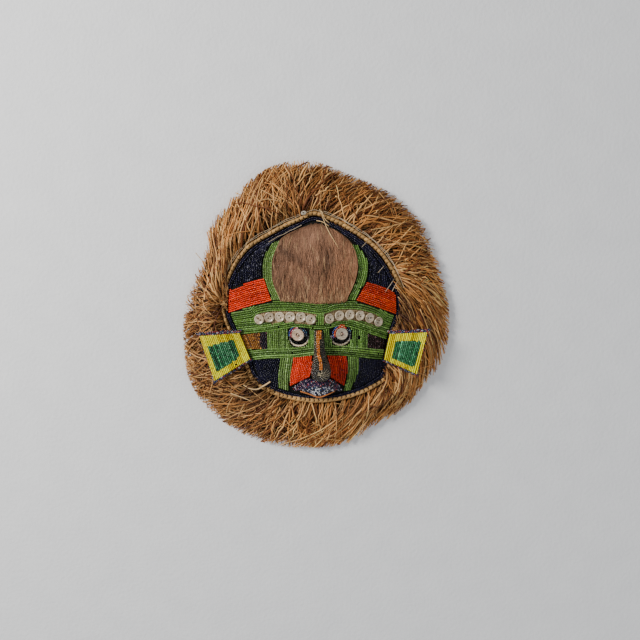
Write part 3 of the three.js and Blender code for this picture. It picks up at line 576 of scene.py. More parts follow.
# Two edges moved apart and lengthened by the same small distance
def outset(start, end, by, narrow=2.0):
    apart = by * (end - start) / np.maximum(narrow, np.linalg.norm(end - start, axis=1))[:, None]
    edges = []
    for edge, way in ((start, -apart), (end, apart)):
        edge = edge + way
        edge[0] += by * unit(edge[0] - edge[1])
        edge[-1] += by * unit(edge[-1] - edge[-2])
        edges.append(edge)
    return edges


# Field ruled between two edges: a grid of points along and across, at the surface's height plus a lift
def fieldGrid(start, end, lift=None, height=faceHeight, base=0.0, across=25):
    share = np.linspace(0, 1, len(start))[:, None]
    v = np.linspace(0, 1, across)[None]
    x = start[:, :1] + (end - start)[:, :1] * v
    y = start[:, 1:] + (end - start)[:, 1:] * v
    z = height(x, y) + base + (lift(share, v) if lift else 0.0)
    return np.stack([x, y, z], -1)


# The same field with its two directions changed over, so that rows run from edge to edge
def crossGrid(start, end, count=60, **options):
    start, end = resample(start, count), resample(end, count)
    return np.swapaxes(fieldGrid(start, end, across=count, **options), 0, 1)


def gridNormals(grid):
    normals = np.cross(np.gradient(grid, axis=0), np.gradient(grid, axis=1))
    return unit(normals * np.where(normals[..., 2:] < 0, -1.0, 1.0))


# Stretches of places that pass a test, without the shortest
def stretches(passed, shortest=4):
    marks = np.flatnonzero(np.diff(np.concatenate([[0], passed.astype(int), [0]])))
    return [(a, b) for a, b in marks.reshape(-1, 2) if b - a >= shortest]


# Rows of a field: its first edge, moved across the surface by whole row pitches, where they fit
def fieldStrings(grid, size=faceBead):
    normals = gridNormals(grid)
    steps = np.linalg.norm(np.diff(grid, axis=1), axis=2)
    reach = np.concatenate([np.zeros((len(grid), 1)), np.cumsum(steps, axis=1)], axis=1)
    typical = np.percentile(reach[:, -1], field["typical"])
    pitch = typical / max(1, round(typical / size["pitch"]))
    share = np.linspace(0, 1, len(grid))
    at = np.arange(len(grid))
    strings = []
    for row in range(int(reach[:, -1].max() / pitch + 0.5)):
        waves, phase = rng.uniform(*field["waves"]), rng.uniform(*field["phases"])
        away = (row + 0.5) * pitch + field["sway"] * np.sin(share * waves + phase)
        cell = np.clip((reach < away[:, None]).sum(axis=1) - 1, 0, reach.shape[1] - 2)
        part = (away - reach[at, cell]) / np.maximum(1e-6, reach[at, cell + 1] - reach[at, cell])
        part = np.clip(part, 0, 1)[:, None]
        path = grid[at, cell] * (1 - part) + grid[at, cell + 1] * part
        ups = normals[at, cell] * (1 - part) + normals[at, cell + 1] * part
        fits = away <= reach[:, -1] - field["room"] * pitch
        strings += [stringBeads(path[a:b], ups[a:b], size) for a, b in stretches(fits)]
    return strings


# Some beads of another colour, spread over a field
def speckled(colour, share, spread=0.25):
    def recolour(beads, tints):
        chosen = rng.random(len(tints)) < share
        tints[chosen] = np.array(colour) * np.exp(rng.normal(0, spread, (chosen.sum(), 1)))
        return tints
    return recolour


# Other colours to the right of a place
def changedBeyond(x, colours, ragged=1.0):
    def recolour(beads, tints):
        past = beads[:, 0] > x + rng.normal(0, ragged, len(beads))
        tints[past] = np.array(colours)[rng.integers(len(colours), size=past.sum())]
        return tints
    return recolour


border = {
    "width": 5.6, "rows": (1.4, 3.6), "lift": 2.2, "covered": 2.0, "gap": (8.5, 14), "sway": 0.1, "waves": 9,
}
# Painted glints: paler beads strewn over the dark navy that stand in for highlights on the glass
glint = (0.05, 0.05, 0.075)
brightGlint = (0.10, 0.10, 0.135)

# Fields by name, which starts with the palette: two edges, and rows along the first one, or from edge to edge
# where it says across
fields = {
    "navy_upper_left": {
        "recolour": speckled(brightGlint, 0.09),
        "start": through((-58.5, 37), (-59, 46), (-57, 58), (-51.5, 69.5), (-41, 79), (-28, 87), (-15, 92.5)),
        "end": alongRim((-92, 25), (-13, 96), border["width"]),
    },
    "navy_upper_right": {
        "recolour": speckled(glint, 0.06),
        "start": through((61.5, 31), (63.5, 43), (62, 55), (56.5, 67), (46, 76.5), (34, 85), (21, 91.5)),
        "end": alongRim((93, 21), (20, 96), border["width"]),
    },
    "green_horn_left": {
        "start": through((-36.5, 11), (-45, 30), (-46.5, 46), (-45.5, 57), (-38.5, 76)),
        "end": through((-46, 11), (-55, 34), (-57.5, 46), (-56, 58), (-45.5, 74.5)),
    },
    "green_horn_right": {
        "start": through((38, 11), (46, 27), (50, 40), (50.5, 52), (44.5, 71.5)),
        "end": through((47, 11), (58, 31), (62, 43), (60.5, 55), (50.5, 71)),
    },
    "orange_temple_left": {
        "start": through((-96.8, -4.5), (-72, 3.5), (-47.0, 9.8)),
        "end": through((-95.6, 21), (-75, 29.0), (-56, 35.3)),
    },
    "orange_temple_right": {
        "start": through((48.6, 10.2), (70, 3), (94, -6.0)),
        "end": through((60.2, 29.4), (77, 24.8), (93.4, 18)),
    },
    "green_brow_upper": {
        "start": through(
            (-90.8, -15.3), (-73, -12.0), (-67.2, -10.6), (-64, -6.0), (-50, -2.3), (-37, -1.6), (-16, -1.8),
            (-3, -3.6), (7, -4.6), (15, -3.4), (24, -0.4), (38, 0.6), (52, -0.4), (66, -4.4), (74, -8.4),
            (79, -13.8), (81, -15.6), (88, -18.4), count=400),
        "end": through(
            (-94.5, -5.5), (-76, 1), (-57, 6.4), (-39, 9.4), (-16, 8.8), (7, 7), (24, 8), (45, 9), (58, 5.5),
            (77, -1), (92, -7), count=400),
    },
    "green_brow_lower": {
        "start": through(
            (-85, -29.5), (-72, -27.6), (-51, -24.8), (-29, -21), (-20, -19.2), (-12, -19.4), (4, -21.2),
            (17, -20.4), (31, -18), (42, -20), (59, -26), (72, -31), (82.8, -35), count=400),
        "end": through(
            (-90.4, -15.5), (-73, -12.3), (-67.2, -11.2), (-64, -16.2), (-50, -14.8), (-37, -14.2),
            (-16, -14.2), (-3, -16.2), (7, -17.2), (14, -15.4), (24, -12.4), (38, -11.4), (52, -12.6),
            (66, -16.6), (74, -20.4), (79, -14.6), (81, -15.8), (88, -18.6), count=400),
    },
    "green_brow_bridge": {
        "start": through((3.4, -16.6), (3.6, -4.4)), "end": through((11.4, -16), (11.4, -4.4)),
    },
    "bronze_temple": {
        "recolour": changedBeyond(-60, [(0.010, 0.008, 0.016), (0.12, 0.05, 0.055), (0.03, 0.014, 0.02)]),
        "start": through((-83.2, -31), (-77.2, -46)), "end": through((-52, -26), (-52, -45)),
    },
    "brown_temple": {
        "recolour": speckled((0.09, 0.05, 0.05), 0.12),
        "start": through((61.5, -28), (61.5, -44.4)), "end": through((81.8, -36.5), (80.4, -46.2)),
    },
    "green_eye_outer_left": {
        "start": through((-51.5, -25.4), (-51.5, -44.9)),
        "end": through((-27.4, -22.2), (-27.4, -33), (-25.6, -38.6), (-22.4, -41.8), (-20, -43)),
    },
    "green_eye_inner_left": {
        "start": through((1.4, -22.4), (0.9, -41.6)),
        "end": through((-4.8, -22), (-5.0, -33), (-6.6, -38.4), (-9.8, -41.6), (-11, -42.4)),
    },
    "green_eye_inner_right": {
        "start": through((11.6, -22.4), (12.7, -41)),
        "end": through((19.2, -21.4), (19.4, -31), (21.2, -37.6), (24.6, -40.6), (26, -41.2)),
    },
    "green_eye_outer_right": {
        "start": through((61, -27.5), (61, -44.2)),
        "end": through((42.4, -21.5), (42.2, -32), (40.2, -38), (36.4, -40.8), (35, -41.4)),
    },
    "green_lower_left": {
        "start": through((-70.8, -59.4), (-49.3, -56), (-22.4, -54.2), (-10.5, -52.7), (0.2, -50.9)),
        "end": through((-76.2, -46.6), (-49, -45.2), (-26, -43.4), (-14.9, -42.3), (0.9, -41.4)),
    },
    "green_lower_right": {
        "start": through((14.4, -50.6), (39, -52.6), (60, -55.6), (79, -59)),
        "end": through((12.8, -41.2), (30, -40.6), (45, -42), (63, -44.8), (80.6, -47)),
    },
    "navy_lower_left": {
        "across": True,
        "start": alongRim((-63.5, -81), (-41, -91), border["width"]),
        "end": through((-70.4, -60.2), (-37.8, -56.2)),
    },
    "green_cheek_left": {
        "start": through((-36.8, -55.7), (-39.4, -70), (-40.2, -78), (-40.2, -91.6)),
        "end": through((-23, -54.9), (-23.4, -62), (-26, -73), (-27.8, -95.6)),
    },
    "orange_cheek_left": {
        "start": through((-22.4, -54.9), (-22.9, -62), (-25.4, -73), (-27, -88.8)),
        "end": through((-0.6, -51.9), (-1.4, -62), (-2.6, -72), (-4.4, -76.6)),
    },
    "orange_cheek_right": {
        "start": through((15.6, -51.6), (18, -60), (19.8, -70), (20, -77.4)),
        "end": through((38.6, -53.5), (38.4, -74.5), (34.8, -88.2)),
    },
    "green_cheek_right": {
        "start": through((39.2, -53.6), (39, -74.5), (37.4, -86), (35, -95.4)),
        "end": through((51.6, -55.4), (51.4, -68), (49.6, -78), (45.2, -89), (43, -94.4)),
    },
    "navy_lower_right": {
        "start": through((52.2, -55.6), (52, -68), (50.2, -78), (46.8, -90.2)),
        "end": alongRim((79.4, -60.2), (52, -93), border["width"]),
    },
}
# Tint factors by field: colour corrections, and painted shade that darkens the right temple, on the side away
# from the light, and the right cheek beside the nose, with a deeper red there
fieldTonesAndShade = {
    "green_brow_upper": (0.92, 0.92, 0.92), "green_brow_lower": (0.92, 0.92, 0.92),
    "green_lower_left": (1.15, 1.05, 1.30), "green_lower_right": (1.0, 0.95, 1.0),
    "green_cheek_left": (1.5, 1.25, 1.8), "green_cheek_right": (1.05, 1.0, 1.1),
    "green_horn_left": (1.25, 1.05, 1.4), "green_eye_outer_left": (1.05, 0.92, 1.1),
    "orange_cheek_right": (0.66, 0.6, 0.9), "orange_temple_left": (0.95, 0.92, 0.9),
    "orange_temple_right": (0.68, 0.85, 1.0), "bronze_temple": (1.2, 1.3, 1.3),
}
for name, part in fields.items():
    palette = name.split("_")[0]
    layout = crossGrid if part.get("across") else fieldGrid
    strings = fieldStrings(layout(*outset(part["start"], part["end"], field["outset"]), base=bead["lift"]))
    tints = evenTints(palette, strings) * fieldTonesAndShade.get(name, (1.0, 1.0, 1.0))
    beadPiece(
        "strung_" + name, strings, tints, "beads_" + palette, ["beads_" + name],
        look="dark" if palette in ("navy", "brown") else "bead", recolour=part.get("recolour"))

angle = np.linspace(0, 2 * math.pi, 721)
strings = []
for inset in border["rows"]:
    radius = rimRadius(angle) - inset + border["sway"] * np.sin(border["waves"] * angle + inset)
    x, y = radius * np.cos(angle), radius * np.sin(angle)
    beads = stringBeads(onFace(x, y, border["lift"]), faceNormal(x, y))
    inGap = (np.abs(beads[:, 1] - border["gap"][0]) < border["gap"][1]) & (beads[:, 0] < 0)
    strings.append(beads[~(inGap & (inset > border["covered"]))])
beadPiece(
    "strung_navy_border", strings, "navy", "beads_navy", ["beads_navy_border"], look="dark",
    recolour=speckled(glint, 0.05))
print("stage: bead fields")

# Eyes: a button over the upper part of each opening
eyes = {
    "left": {"button": (-17, -28), "opening": (-16, -30)},
    "right": {"button": (31.5, -27), "opening": (30.5, -29)},
}
opening = {"half": (10.5, 9.9), "lip": 6.9, "cut": (0, 80)}


def crescent(eye, count=33):
    turn = np.linspace(math.pi, 2 * math.pi, count)
    around = np.column_stack([np.cos(turn), np.sin(turn)])
    outer = np.array(eye["opening"]) + around * opening["half"]
    inner = np.array(eye["button"]) + around * opening["lip"]
    return np.concatenate([outer, inner[::-1]])


# Arc of an ellipse about a centre, between two angles in degrees
def arc(centre, radii, first, last, count=60):
    turn = np.radians(np.linspace(first, last, count))
    return centre[0] + radii[0] * np.cos(turn), centre[1] + radii[1] * np.sin(turn)


# Prism over a closed plan outline
def prism(outline, low, high):
    count = len(outline)
    points = np.concatenate([np.column_stack([outline, np.full(count, z)]) for z in (low, high)])
    k = np.arange(count)
    n = (k + 1) % count
    return points, [np.stack([k, n, n + count, k + count], -1), k[None, ::-1], k[None] + count]


# Face cloth: rings of the rim's outline from the middle out, on the dome, as a closed shell
cloth = {
    "rings": 40, "sectors": 180, "top": 0.55, "thick": 1.7, "edge": 0.4, "first": 0.004,
    "bare": (0.42, 0.31, 0.18), "under": (0.010, 0.011, 0.010), "back": (0.42, 0.30, 0.16),
}
bareShapes = [
    [(-66, -11.4), (-60.5, -4.2), (-37, -0.2), (-13.6, -0.6), (4, -5.4), (4, -16.4), (-13.6, -16.2),
     (-37, -16), (-60.5, -18.6)],
    [(9.6, -16.4), (10, -5), (28.4, 1.6), (51.6, 1), (73, -6.4), (79, -15), (73, -22.4), (51.6, -14.2),
     (28.4, -13.6)],
]


def clothShell():
    rings, sectors = cloth["rings"], cloth["sectors"]
    turn = evenAngles(sectors)
    radius = np.linspace(cloth["first"], 1, rings)[:, None] * (rimRadius(turn) - cloth["edge"])
    x, y = radius * np.cos(turn), radius * np.sin(turn)
    top = onFace(x, y, cloth["top"])
    low = top - faceNormal(x, y) * cloth["thick"]
    upper = ringCells(rings, sectors)[:, [0, 3, 2, 1]]
    count = rings * sectors
    edge = np.arange(sectors) + (rings - 1) * sectors
    after = np.roll(edge, -1)
    walls = np.stack([edge, edge + count, after + count, after], -1)
    middle = np.arange(sectors)[None]
    faces = [upper, upper[:, ::-1] + count, walls, middle, middle[:, ::-1] + count]
    return np.concatenate([top.reshape(-1, 3), low.reshape(-1, 3)]), faces


def insideShape(x, y, outline):
    inside = np.zeros(len(x), bool)
    for (ax, ay), (bx, by) in zip(outline, outline[1:] + outline[:1]):
        crosses = (ay > y) != (by > y)
        reach = (bx - ax) * (y - ay) / (by - ay if by != ay else 1e-9) + ax
        inside ^= crosses & (x < reach)
    return inside


points, faces = clothShell()
x, y = points[:, 0], points[:, 1]
bare = insideShape(x, y, bareShapes[0]) | insideShape(x, y, bareShapes[1])
# The cloth under the bead fields is painted near black, the shade between the beads; the bare strips by the
# buttons and the back keep the cloth's own colour
tints = np.where(bare[:, None], cloth["bare"], cloth["under"])
lower = np.arange(len(points)) >= len(points) // 2
tints = np.where(lower[:, None], cloth["back"], tints)
faceCloth = makePiece("face_cloth_woven", points, faces, "cloth", tints, "cloth", ["face_cloth"])
cutters = []
for eye in eyes.values():
    points, faces = prism(crescent(eye), *opening["cut"])
    cutters.append(makeObject("cutter", toFrame(points), faces, False))
faceCloth.data = cutWith(faceCloth, cutters)
print("stage: face cloth", len(faceCloth.data.polygons))

# Turned hem along the lower edge of each opening: a flat roll that thins out to its ends
hem = {
    "first": 216, "last": 328, "out": 0.8, "half": 1.05, "thick": 0.6, "rise": 1.5, "taper": 0.12,
    # The right hem's darker, greyer tint is painted shade
    "sides": 10, "left": (0.80, 0.70, 0.50), "right": (0.46, 0.40, 0.28),
}
for side, eye in eyes.items():
    x, y = arc(eye["opening"], np.array(opening["half"]) + hem["out"], hem["first"], hem["last"])
    thin = np.sin(np.linspace(hem["taper"], math.pi - hem["taper"], len(x)))[None, :, None] ** 0.5
    points, faces = tubes(
        onFace(x, y, hem["rise"])[None], hem["half"] * thin, hem["thick"] * thin, ringProfile(hem["sides"]),
        faceNormal(x, y)[None])
    makePiece("turned_hem_" + side, points, faces, "cloth", hem[side], "cloth")

# Buttons: a turned disc with a raised rim and a dished middle, cut by two holes
buttons = {
    "radius": 5.6, "thick": 2.2, "rise": 1.8, "lean": 8.0, "unlike": 1.5, "sides": 40, "sharp": 42,
    "span": 4.0, "hole": 0.95, "holeOff": 1.5, "holeSides": 16, "drill": (-2, 5), "ring": 1.75, "rings": 0.18,
    "cream": (1.0, 0.93, 0.83), "shades": (0.7, 1.05), "turns": {"left": 0.4, "right": 1.0},
    "heart": (0.30, 0.05, 0.04), "heartRadius": 1.9,
    "eye": {
        "radius": 6.8, "rise": 1.4, "turn": 0.2, "rings": 0.4,
        # The right button's darker, greyer tone is painted shade, as on the right hem
        "left": (1, 0.84, 0.76), "right": (0.8, 0.78, 0.74),
    },
    "left": [(-60.5, -11.2), (-49, -8.6), (-37.2, -8), (-25.4, -7.8), (-13.6, -8), (-2.6, -10.4)],
    "right": [(17.2, -9.6), (28.4, -6.4), (40, -5.6), (51.6, -6.8), (62.6, -9.8), (73, -14.4)],
}
browProfile = [
    (0.72, 0.0), (0.93, 0.25), (1.0, 0.62), (0.985, 0.86), (0.93, 0.98), (0.84, 1.0), (0.76, 0.92),
    (0.68, 0.74), (0.56, 0.66), (0.4, 0.62),
]
eyeProfile = [
    (0.74, 0.0), (0.94, 0.25), (1.0, 0.6), (0.98, 0.82), (0.9, 0.95), (0.8, 0.9), (0.74, 0.78),
    (0.66, 0.86), (0.56, 0.84), (0.5, 0.7), (0.42, 0.76), (0.32, 0.72), (0.22, 0.6), (0.1, 0.58),
]


# A turned solid from its profile of radius and height, with flat ends
def turned(profile, radius, thick, sides):
    rings = np.array(profile) * (radius, thick)
    angle = evenAngles(sides)
    ring = np.stack([
        rings[:, :1] * np.cos(angle), rings[:, :1] * np.sin(angle), np.repeat(rings[:, 1:], sides, axis=1),
    ], -1)
    last = (len(rings) - 1) * sides + np.arange(sides)
    return ring.reshape(-1, 3), [ringCells(len(rings), sides), np.arange(sides)[None, ::-1], last[None]]


def buttonTemplate(profile, radius):
    body = makeObject("button", *turned(profile, radius, buttons["thick"], buttons["sides"]))
    drills = []
    for side in (-1, 1):
        around = ringProfile(buttons["holeSides"]) * buttons["hole"] + (side * buttons["holeOff"], 0)
        drills.append(makeObject("drill", *prism(around, *buttons["drill"])))
    mesh = cutWith(body, drills)
    bpy.data.objects.remove(body)
    return mesh


# Tone by the distance from the middle: faint rings, and on the eyes a red heart round the bead
def ringTones(mesh, tone, depth, heart):
    places = np.zeros(len(mesh.vertices) * 3)
    mesh.vertices.foreach_get("co", places)
    away = np.hypot(places[0::3], places[1::3])[:, None]
    tones = np.array(tone) * (1 - depth * (0.5 - 0.5 * np.cos(away * 2 * math.pi / buttons["ring"])))
    return np.where(heart & (away < buttons["heartRadius"]), buttons["heart"], tones)


# Places a template's copy on the face, leaned about the y axis and turned on itself
def placeButton(name, template, place, turn, lean, rise, tone, node, depth, heart=False):
    mesh = template.copy()
    mesh.name = name
    tones = ringTones(mesh, tone, depth, heart)
    x, y = np.array(place[0], float), np.array(place[1], float)
    slope = faceNormal(x, y, buttons["span"])
    normal = Vector((slope[0] / slope[2] + math.tan(lean), slope[1] / slope[2], 1)).normalized()
    rotation = normal.to_track_quat("Z", "Y").to_matrix().to_4x4() @ Matrix.Rotation(turn, 4, "Z")
    centre = Matrix.Translation(Vector((*place, float(faceHeight(x, y)) + rise)))
    mesh.transform(Matrix.Translation(Vector((*planShift, 0))) @ Matrix.Scale(0.001, 4) @ centre @ rotation)
    setTints(mesh, tones)
    mesh.materials.clear()
    mesh.materials.append(looks["pearl"])
    mesh.polygons.foreach_set("use_smooth", np.ones(len(mesh.polygons), bool))
    mesh.set_sharp_from_angle(angle=math.radians(buttons["sharp"]))
    piece = bpy.data.objects.new(name, mesh)
    bpy.context.scene.collection.objects.link(piece)
    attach(piece, "root")
    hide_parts(node)


browTemplate = buttonTemplate(browProfile, buttons["radius"])
eyeTemplate = buttonTemplate(eyeProfile, buttons["eye"]["radius"])
for side, firstTurn in buttons["turns"].items():
    for index, place in enumerate(buttons[side]):
        tone = np.array(buttons["cream"]) * rng.uniform(*buttons["shades"])
        lean = math.radians(buttons["lean"] + rng.uniform(-buttons["unlike"], buttons["unlike"]))
        number = f"{side}_{index + 1}"
        placeButton(
            "shirt_button_" + number, browTemplate, place, firstTurn + index, lean, buttons["rise"], tone,
            "brow_button_" + number, buttons["rings"])
for side, eye in eyes.items():
    values = buttons["eye"]
    placeButton(
        "pupil_button_" + side, eyeTemplate, eye["button"], values["turn"], 0.0, values["rise"], values[side],
        "eye_button_" + side, values["rings"], True)
for template in (browTemplate, eyeTemplate):
    bpy.data.meshes.remove(template)
print("stage: buttons")

# Beads at the eyes, as arcs round the button: radius, first and last angle, palette; one more is its heart
eyeArcs = {
    "left": [
        (7.8, 88, 205, "rose"), (9.8, 118, 190, "blue"), (7.9, -14, 74, "pit"), (9.9, -10, 56, "pit")],
    "right": [
        (7.8, 48, 205, "fire"), (9.7, 118, 208, "blue"), (9.6, 70, 112, "fire"), (8.0, -14, 44, "pit"),
        (10.0, -10, 46, "pit")],
}
eyeRise = {"heart": 3.3, "arc": 1.9}
for side, eye in eyes.items():
    x, y = np.array(eye["button"], float)
    strings = [np.array([[x, y, faceHeight(x, y) + eyeRise["heart"], 0, 0, 1, 1, 0, 0]])]
    tints = [drawTints("cream", 1)]
    for radius, first, last, palette in eyeArcs[side]:
        x, y = arc(eye["button"], (radius, radius), first, last)
        strings.append(stringBeads(onFace(x, y, eyeRise["arc"]), faceNormal(x, y)))
        tints.append(drawTints(palette, len(strings[-1])))
    beadPiece(
        "strung_eye_" + side, strings, np.concatenate(tints), "beads_eye", ["eye_beads_" + side],
        look="gloss", lost=0.0)

# Nose, from the brow down: [y, middle x, half width, ridge x, height]
noseStations = np.array([
    (-22.4, 5.8, 4.2, 5.6, 3), (-33, 6.2, 4.8, 5.6, 8), (-45, 6.9, 5.5, 5.8, 12.5), (-54, 7.5, 6.9, 7.2, 16),
    (-62, 8.3, 9.2, 8, 19), (-70, 8.6, 10.8, 8.2, 19.5), (-75.6, 8.7, 10.2, 8.2, 16),
    (-79.8, 8.6, 7.8, 8.2, 9), (-82.4, 8.5, 4.6, 8.2, 3),
])
nose = {
    "rows": 160, "around": 61, "blur": 13, "lift": 1.4, "power": 0.8, "core": -0.9,
    "dark": (0.035, 0.04, 0.028), "firstRow": 1.0, "rowSpread": 0.2, "clear": 1.15,
}
fan = {
    "heart": -69.2, "above": -63.5, "back": 32, "wide": 0.97, "rings": (0.14, 1.01, 0.105),
    "ringSpread": 0.15, "shades": ((0.6, 1.0), (0.3, 0.9)), "rays": 16, "start": 0.08,
    "reach": 0.6, "right": 1.15, "left": 0.34, "tilt": 0.3, "unlike": (0.85, 1.15), "curl": 0.35,
    "lift": 0.7, "clear": 1.02, "lost": 0.04,
}


# Section at y: x = middle + half cos a + (ridge - middle) sin^2 a, height above the face = rise sin^0.8 a
def noseSurface(outward):
    y = np.linspace(noseStations[0, 0], noseStations[-1, 0], nose["rows"])
    stations = noseStations[::-1]
    blur = np.hanning(nose["blur"])
    blur /= blur.sum()
    columns = [np.interp(y, stations[:, 0], stations[:, axis]) for axis in range(1, 5)]
    middle, half, ridge, rise = (
        np.convolve(np.pad(column, len(blur) // 2, mode="edge"), blur, mode="valid")[:, None]
        for column in columns
    )
    a = np.linspace(math.pi, 0, nose["around"])[None]
    x = middle + (half + outward) * np.cos(a) + (ridge - middle) * np.sin(a) ** 2
    y = np.repeat(y[:, None], nose["around"], axis=1)
    bulge = (rise + outward) * np.maximum(0, np.sin(a)) ** nose["power"]
    return np.stack([x, y, faceHeight(x, y) + nose["lift"] + bulge], -1)


# Beads that keep clear of those before them
def sparse(beads, clear):
    kept = []
    for index, place in enumerate(beads[:, :3]):
        if not kept or np.min(np.sum((beads[kept, :3] - place) ** 2, axis=1)) > clear**2:
            kept.append(index)
    return beads[kept]


# Solid under the beads, from a surface down to just above the face, painted dark as the shade between the
# beads
def corePiece(name, core, tint, slot, lift=0.6):
    foot = onFace(core[..., 0], core[..., 1], lift)
    makePiece(name, *closedSheet(core, foot), "cloth", tint, slot)


corePiece("nose_core", noseSurface(nose["core"])[::4, ::3], nose["dark"], "beads_nose")
surface = noseSurface(0.0)
normals = gridNormals(surface)
ridgeLine = surface[:, nose["around"] // 2]
runs = lengthsAlong(ridgeLine)
strings = []
firsts = np.arange(nose["firstRow"], runs[-1], noseBead["pitch"])
for row in np.searchsorted(runs, firsts).clip(0, len(surface) - 1):
    if surface[row, 0, 1] > fan["above"]:
        string = stringBeads(surface[row], normals[row], noseBead)
        shade = drawTints("nose", len(string)) * math.exp(rng.normal(0, nose["rowSpread"]))
        strings.append(np.column_stack([string, shade]))
heart = int(np.argmin(np.abs(surface[:, 0, 1] - fan["heart"])))


# Cells of the nose's surface by their bearing from the tip's heart and their share of the way to the edge
def fanCells(bearing, share):
    rows = np.where(np.cos(bearing) > 0, len(surface) - 1 - heart, fan["back"])
    row = heart + rows * np.cos(bearing) * share
    column = nose["around"] // 2 * (1 + fan["wide"] * np.sin(bearing) * share)
    return row.round().astype(int), column.round().astype(int)


for share in np.arange(*fan["rings"]):
    cells = fanCells(np.linspace(-math.pi, math.pi, 120), share)
    string = stringBeads(surface[cells], normals[cells], noseBead)
    shade = np.interp(share, *fan["shades"]) * math.exp(rng.normal(0, fan["ringSpread"]))
    strings.append(np.column_stack([string, drawTints("nose", len(string)) * shade]))
beads = sparse(np.concatenate(strings[::-1]), nose["clear"])
beadPiece("strung_nose", [beads[:, :9]], beads[:, 9:], "beads_nose", ["nose_beads"], noseBead, "gloss")

# Cream bead arcs that curl out from the heart of the tip, longest on the right
strings = []
away = np.linspace(fan["start"], 1, 40)
for way in 2 * math.pi * np.arange(fan["rays"]) / fan["rays"]:
    reach = fan["right" if math.sin(way + fan["tilt"]) > 0 else "left"]
    reach = fan["reach"] * reach * rng.uniform(*fan["unlike"])
    cells = fanCells(way + fan["curl"] * away, away * reach)
    strings.append(stringBeads(surface[cells] + fan["lift"] * normals[cells], normals[cells], fanBead))
beads = sparse(np.concatenate(strings), fan["clear"])
beadPiece("strung_nose_fan", [beads], "cream", "beads_nose", (), fanBead, "gloss", lost=fan["lost"])

# Orange line of the ridge: bead rows that close up towards the tip and bend a little
ridge = {
    "offsets": (-1.0, 1.0, 2.9), "lift": 1.5, "fall": 0.2,
    "spread": ([0, 0.12, 0.26, 1], [1, 0.95, 0.85, 0.8]),
    "bend": ([0, 0.4, 0.47, 0.55, 0.75], [-0.3, -0.2, 0, 0.9, 0.3]), "lean": 0.1, "clear": 1.3,
    "ends": {-1.0: -64.5, 1.0: -64.5, 2.9: -31.5},
}
strings = []
down = np.linspace(0, 1, len(ridgeLine))
for offset in ridge["offsets"]:
    aside = offset * np.interp(down, *ridge["spread"])
    bend = np.interp(down, *ridge["bend"])
    rise = ridge["lift"] - ridge["fall"] * np.abs(aside)
    path = ridgeLine + np.column_stack([aside + bend, 0 * aside, rise])
    path = path[path[:, 1] > ridge["ends"][offset]]
    strings.append(stringBeads(path, unit(np.array((ridge["lean"] * offset, 0.0, 1.0)))))
beads = sparse(np.concatenate(strings), ridge["clear"])
beadPiece(
    "strung_nose_ridge", [beads], "ridge", "beads_orange", ["nose_ridge_beads"], look="gloss", lost=0.0)
print("stage: eyes and nose")

# Mouth: the upper lip rises to its lower edge, over an inner part and a cord
mouth = {
    "root": 2.5, "rise": 12.0, "floor": 9.0, "chin": 6.0, "drops": (1.0, 2.6, 4.2, 5.8, 7.4), "back": 0.6,
    "core": 0.9, "coreIn": -0.5, "out": 0.7, "room": 1.6, "cord": 2.2, "facing": (0.0, -1.0, 0.2),
    "dark": (0.004, 0.004, 0.012),
}
lip = {
    "start": through(
        (-21.6, -93.8), (-13, -91), (-5.4, -86.8), (4.6, -85), (15, -86.6), (23, -90.8), (30.4, -94.4)),
    "end": through(
        (-23.6, -91.2), (-16.4, -84.6), (-9, -79.8), (-2, -79.6), (9, -80.6), (18.6, -79.6), (26, -84),
        (32.6, -92.2)),
    "lift": lambda u, v: mouth["root"]
    + (mouth["rise"] - mouth["root"]) * (1 - v) * np.sin(math.pi * np.clip(u, 0.06, 0.94)),
}
inner = {
    "start": through((-12.8, -93.4), (-4.8, -96.4), (6.2, -100), (15.8, -97), (24, -93.6)),
    "end": through((-12.8, -92), (-5.2, -87.8), (4.6, -86), (15, -87.6), (22.4, -91.6)),
    "lift": lambda u, v: mouth["chin"] + (mouth["floor"] - mouth["chin"]) * v + 0 * u,
}
for name, part in (("lip", lip), ("inside", inner)):
    start, end = outset(part["start"], part["end"], mouth["coreIn"])
    core = fieldGrid(start, end, part["lift"], base=mouth["core"])[::6, ::3]
    corePiece("mouth_core_" + name, core, mouth["dark"], "beads_mouth")
start, end = outset(lip["start"], lip["end"], mouth["out"])
strings = fieldStrings(fieldGrid(start, end, lip["lift"], base=bead["lift"]), fineBead)
edge = fieldGrid(**lip, base=bead["lift"])[:, 0]
for drop in mouth["drops"]:
    path = edge - (0, mouth["back"], drop)
    room = path[:, 2] > faceHeight(path[:, 0], path[:, 1]) + mouth["room"]
    facing = unit(np.array(mouth["facing"]))
    strings += [stringBeads(path[a:b], facing, fineBead) for a, b in stretches(room)]
beadPiece("strung_mouth_lip", strings, "lip", "beads_mouth", ["mouth_upper_lip"], fineBead, "gloss")
strings = fieldStrings(crossGrid(**inner, base=bead["lift"]), noseBead)
beadPiece("strung_mouth_inside", strings, "mouth", "beads_mouth", ["mouth_inner"], noseBead, "gloss")

# Cord of the mouth's lower edge: three strands laid round one another
lipCord = {"lay": 0.36, "strand": 0.46, "turns": 26, "phases": (0.0, 2.1, 4.2), "colour": (0.58, 0.19, 0.03)}
edge = through((-15, -94.8), (-5, -98), (6.2, -101.6), (16, -98.4), (24.4, -94.4), count=160)
cordTop = float(faceHeight(np.array(6.0), np.array(-100.0))) + mouth["cord"] + mouth["chin"]
twist = np.linspace(0, 2 * math.pi * lipCord["turns"], len(edge)) + np.array(lipCord["phases"])[:, None]
lay = lipCord["lay"]
paths = np.stack([
    edge[:, 0] + 0 * twist, edge[:, 1] + lay * np.cos(twist), cordTop + lay * np.sin(twist),
], -1)
points, faces = tubes(paths, lipCord["strand"], lipCord["strand"], ringProfile(6))
makePiece("twisted_lip_cord", points, faces, "thread", lipCord["colour"], "lip_cord", ["mouth_lip_cord"])
print("stage: mouth")

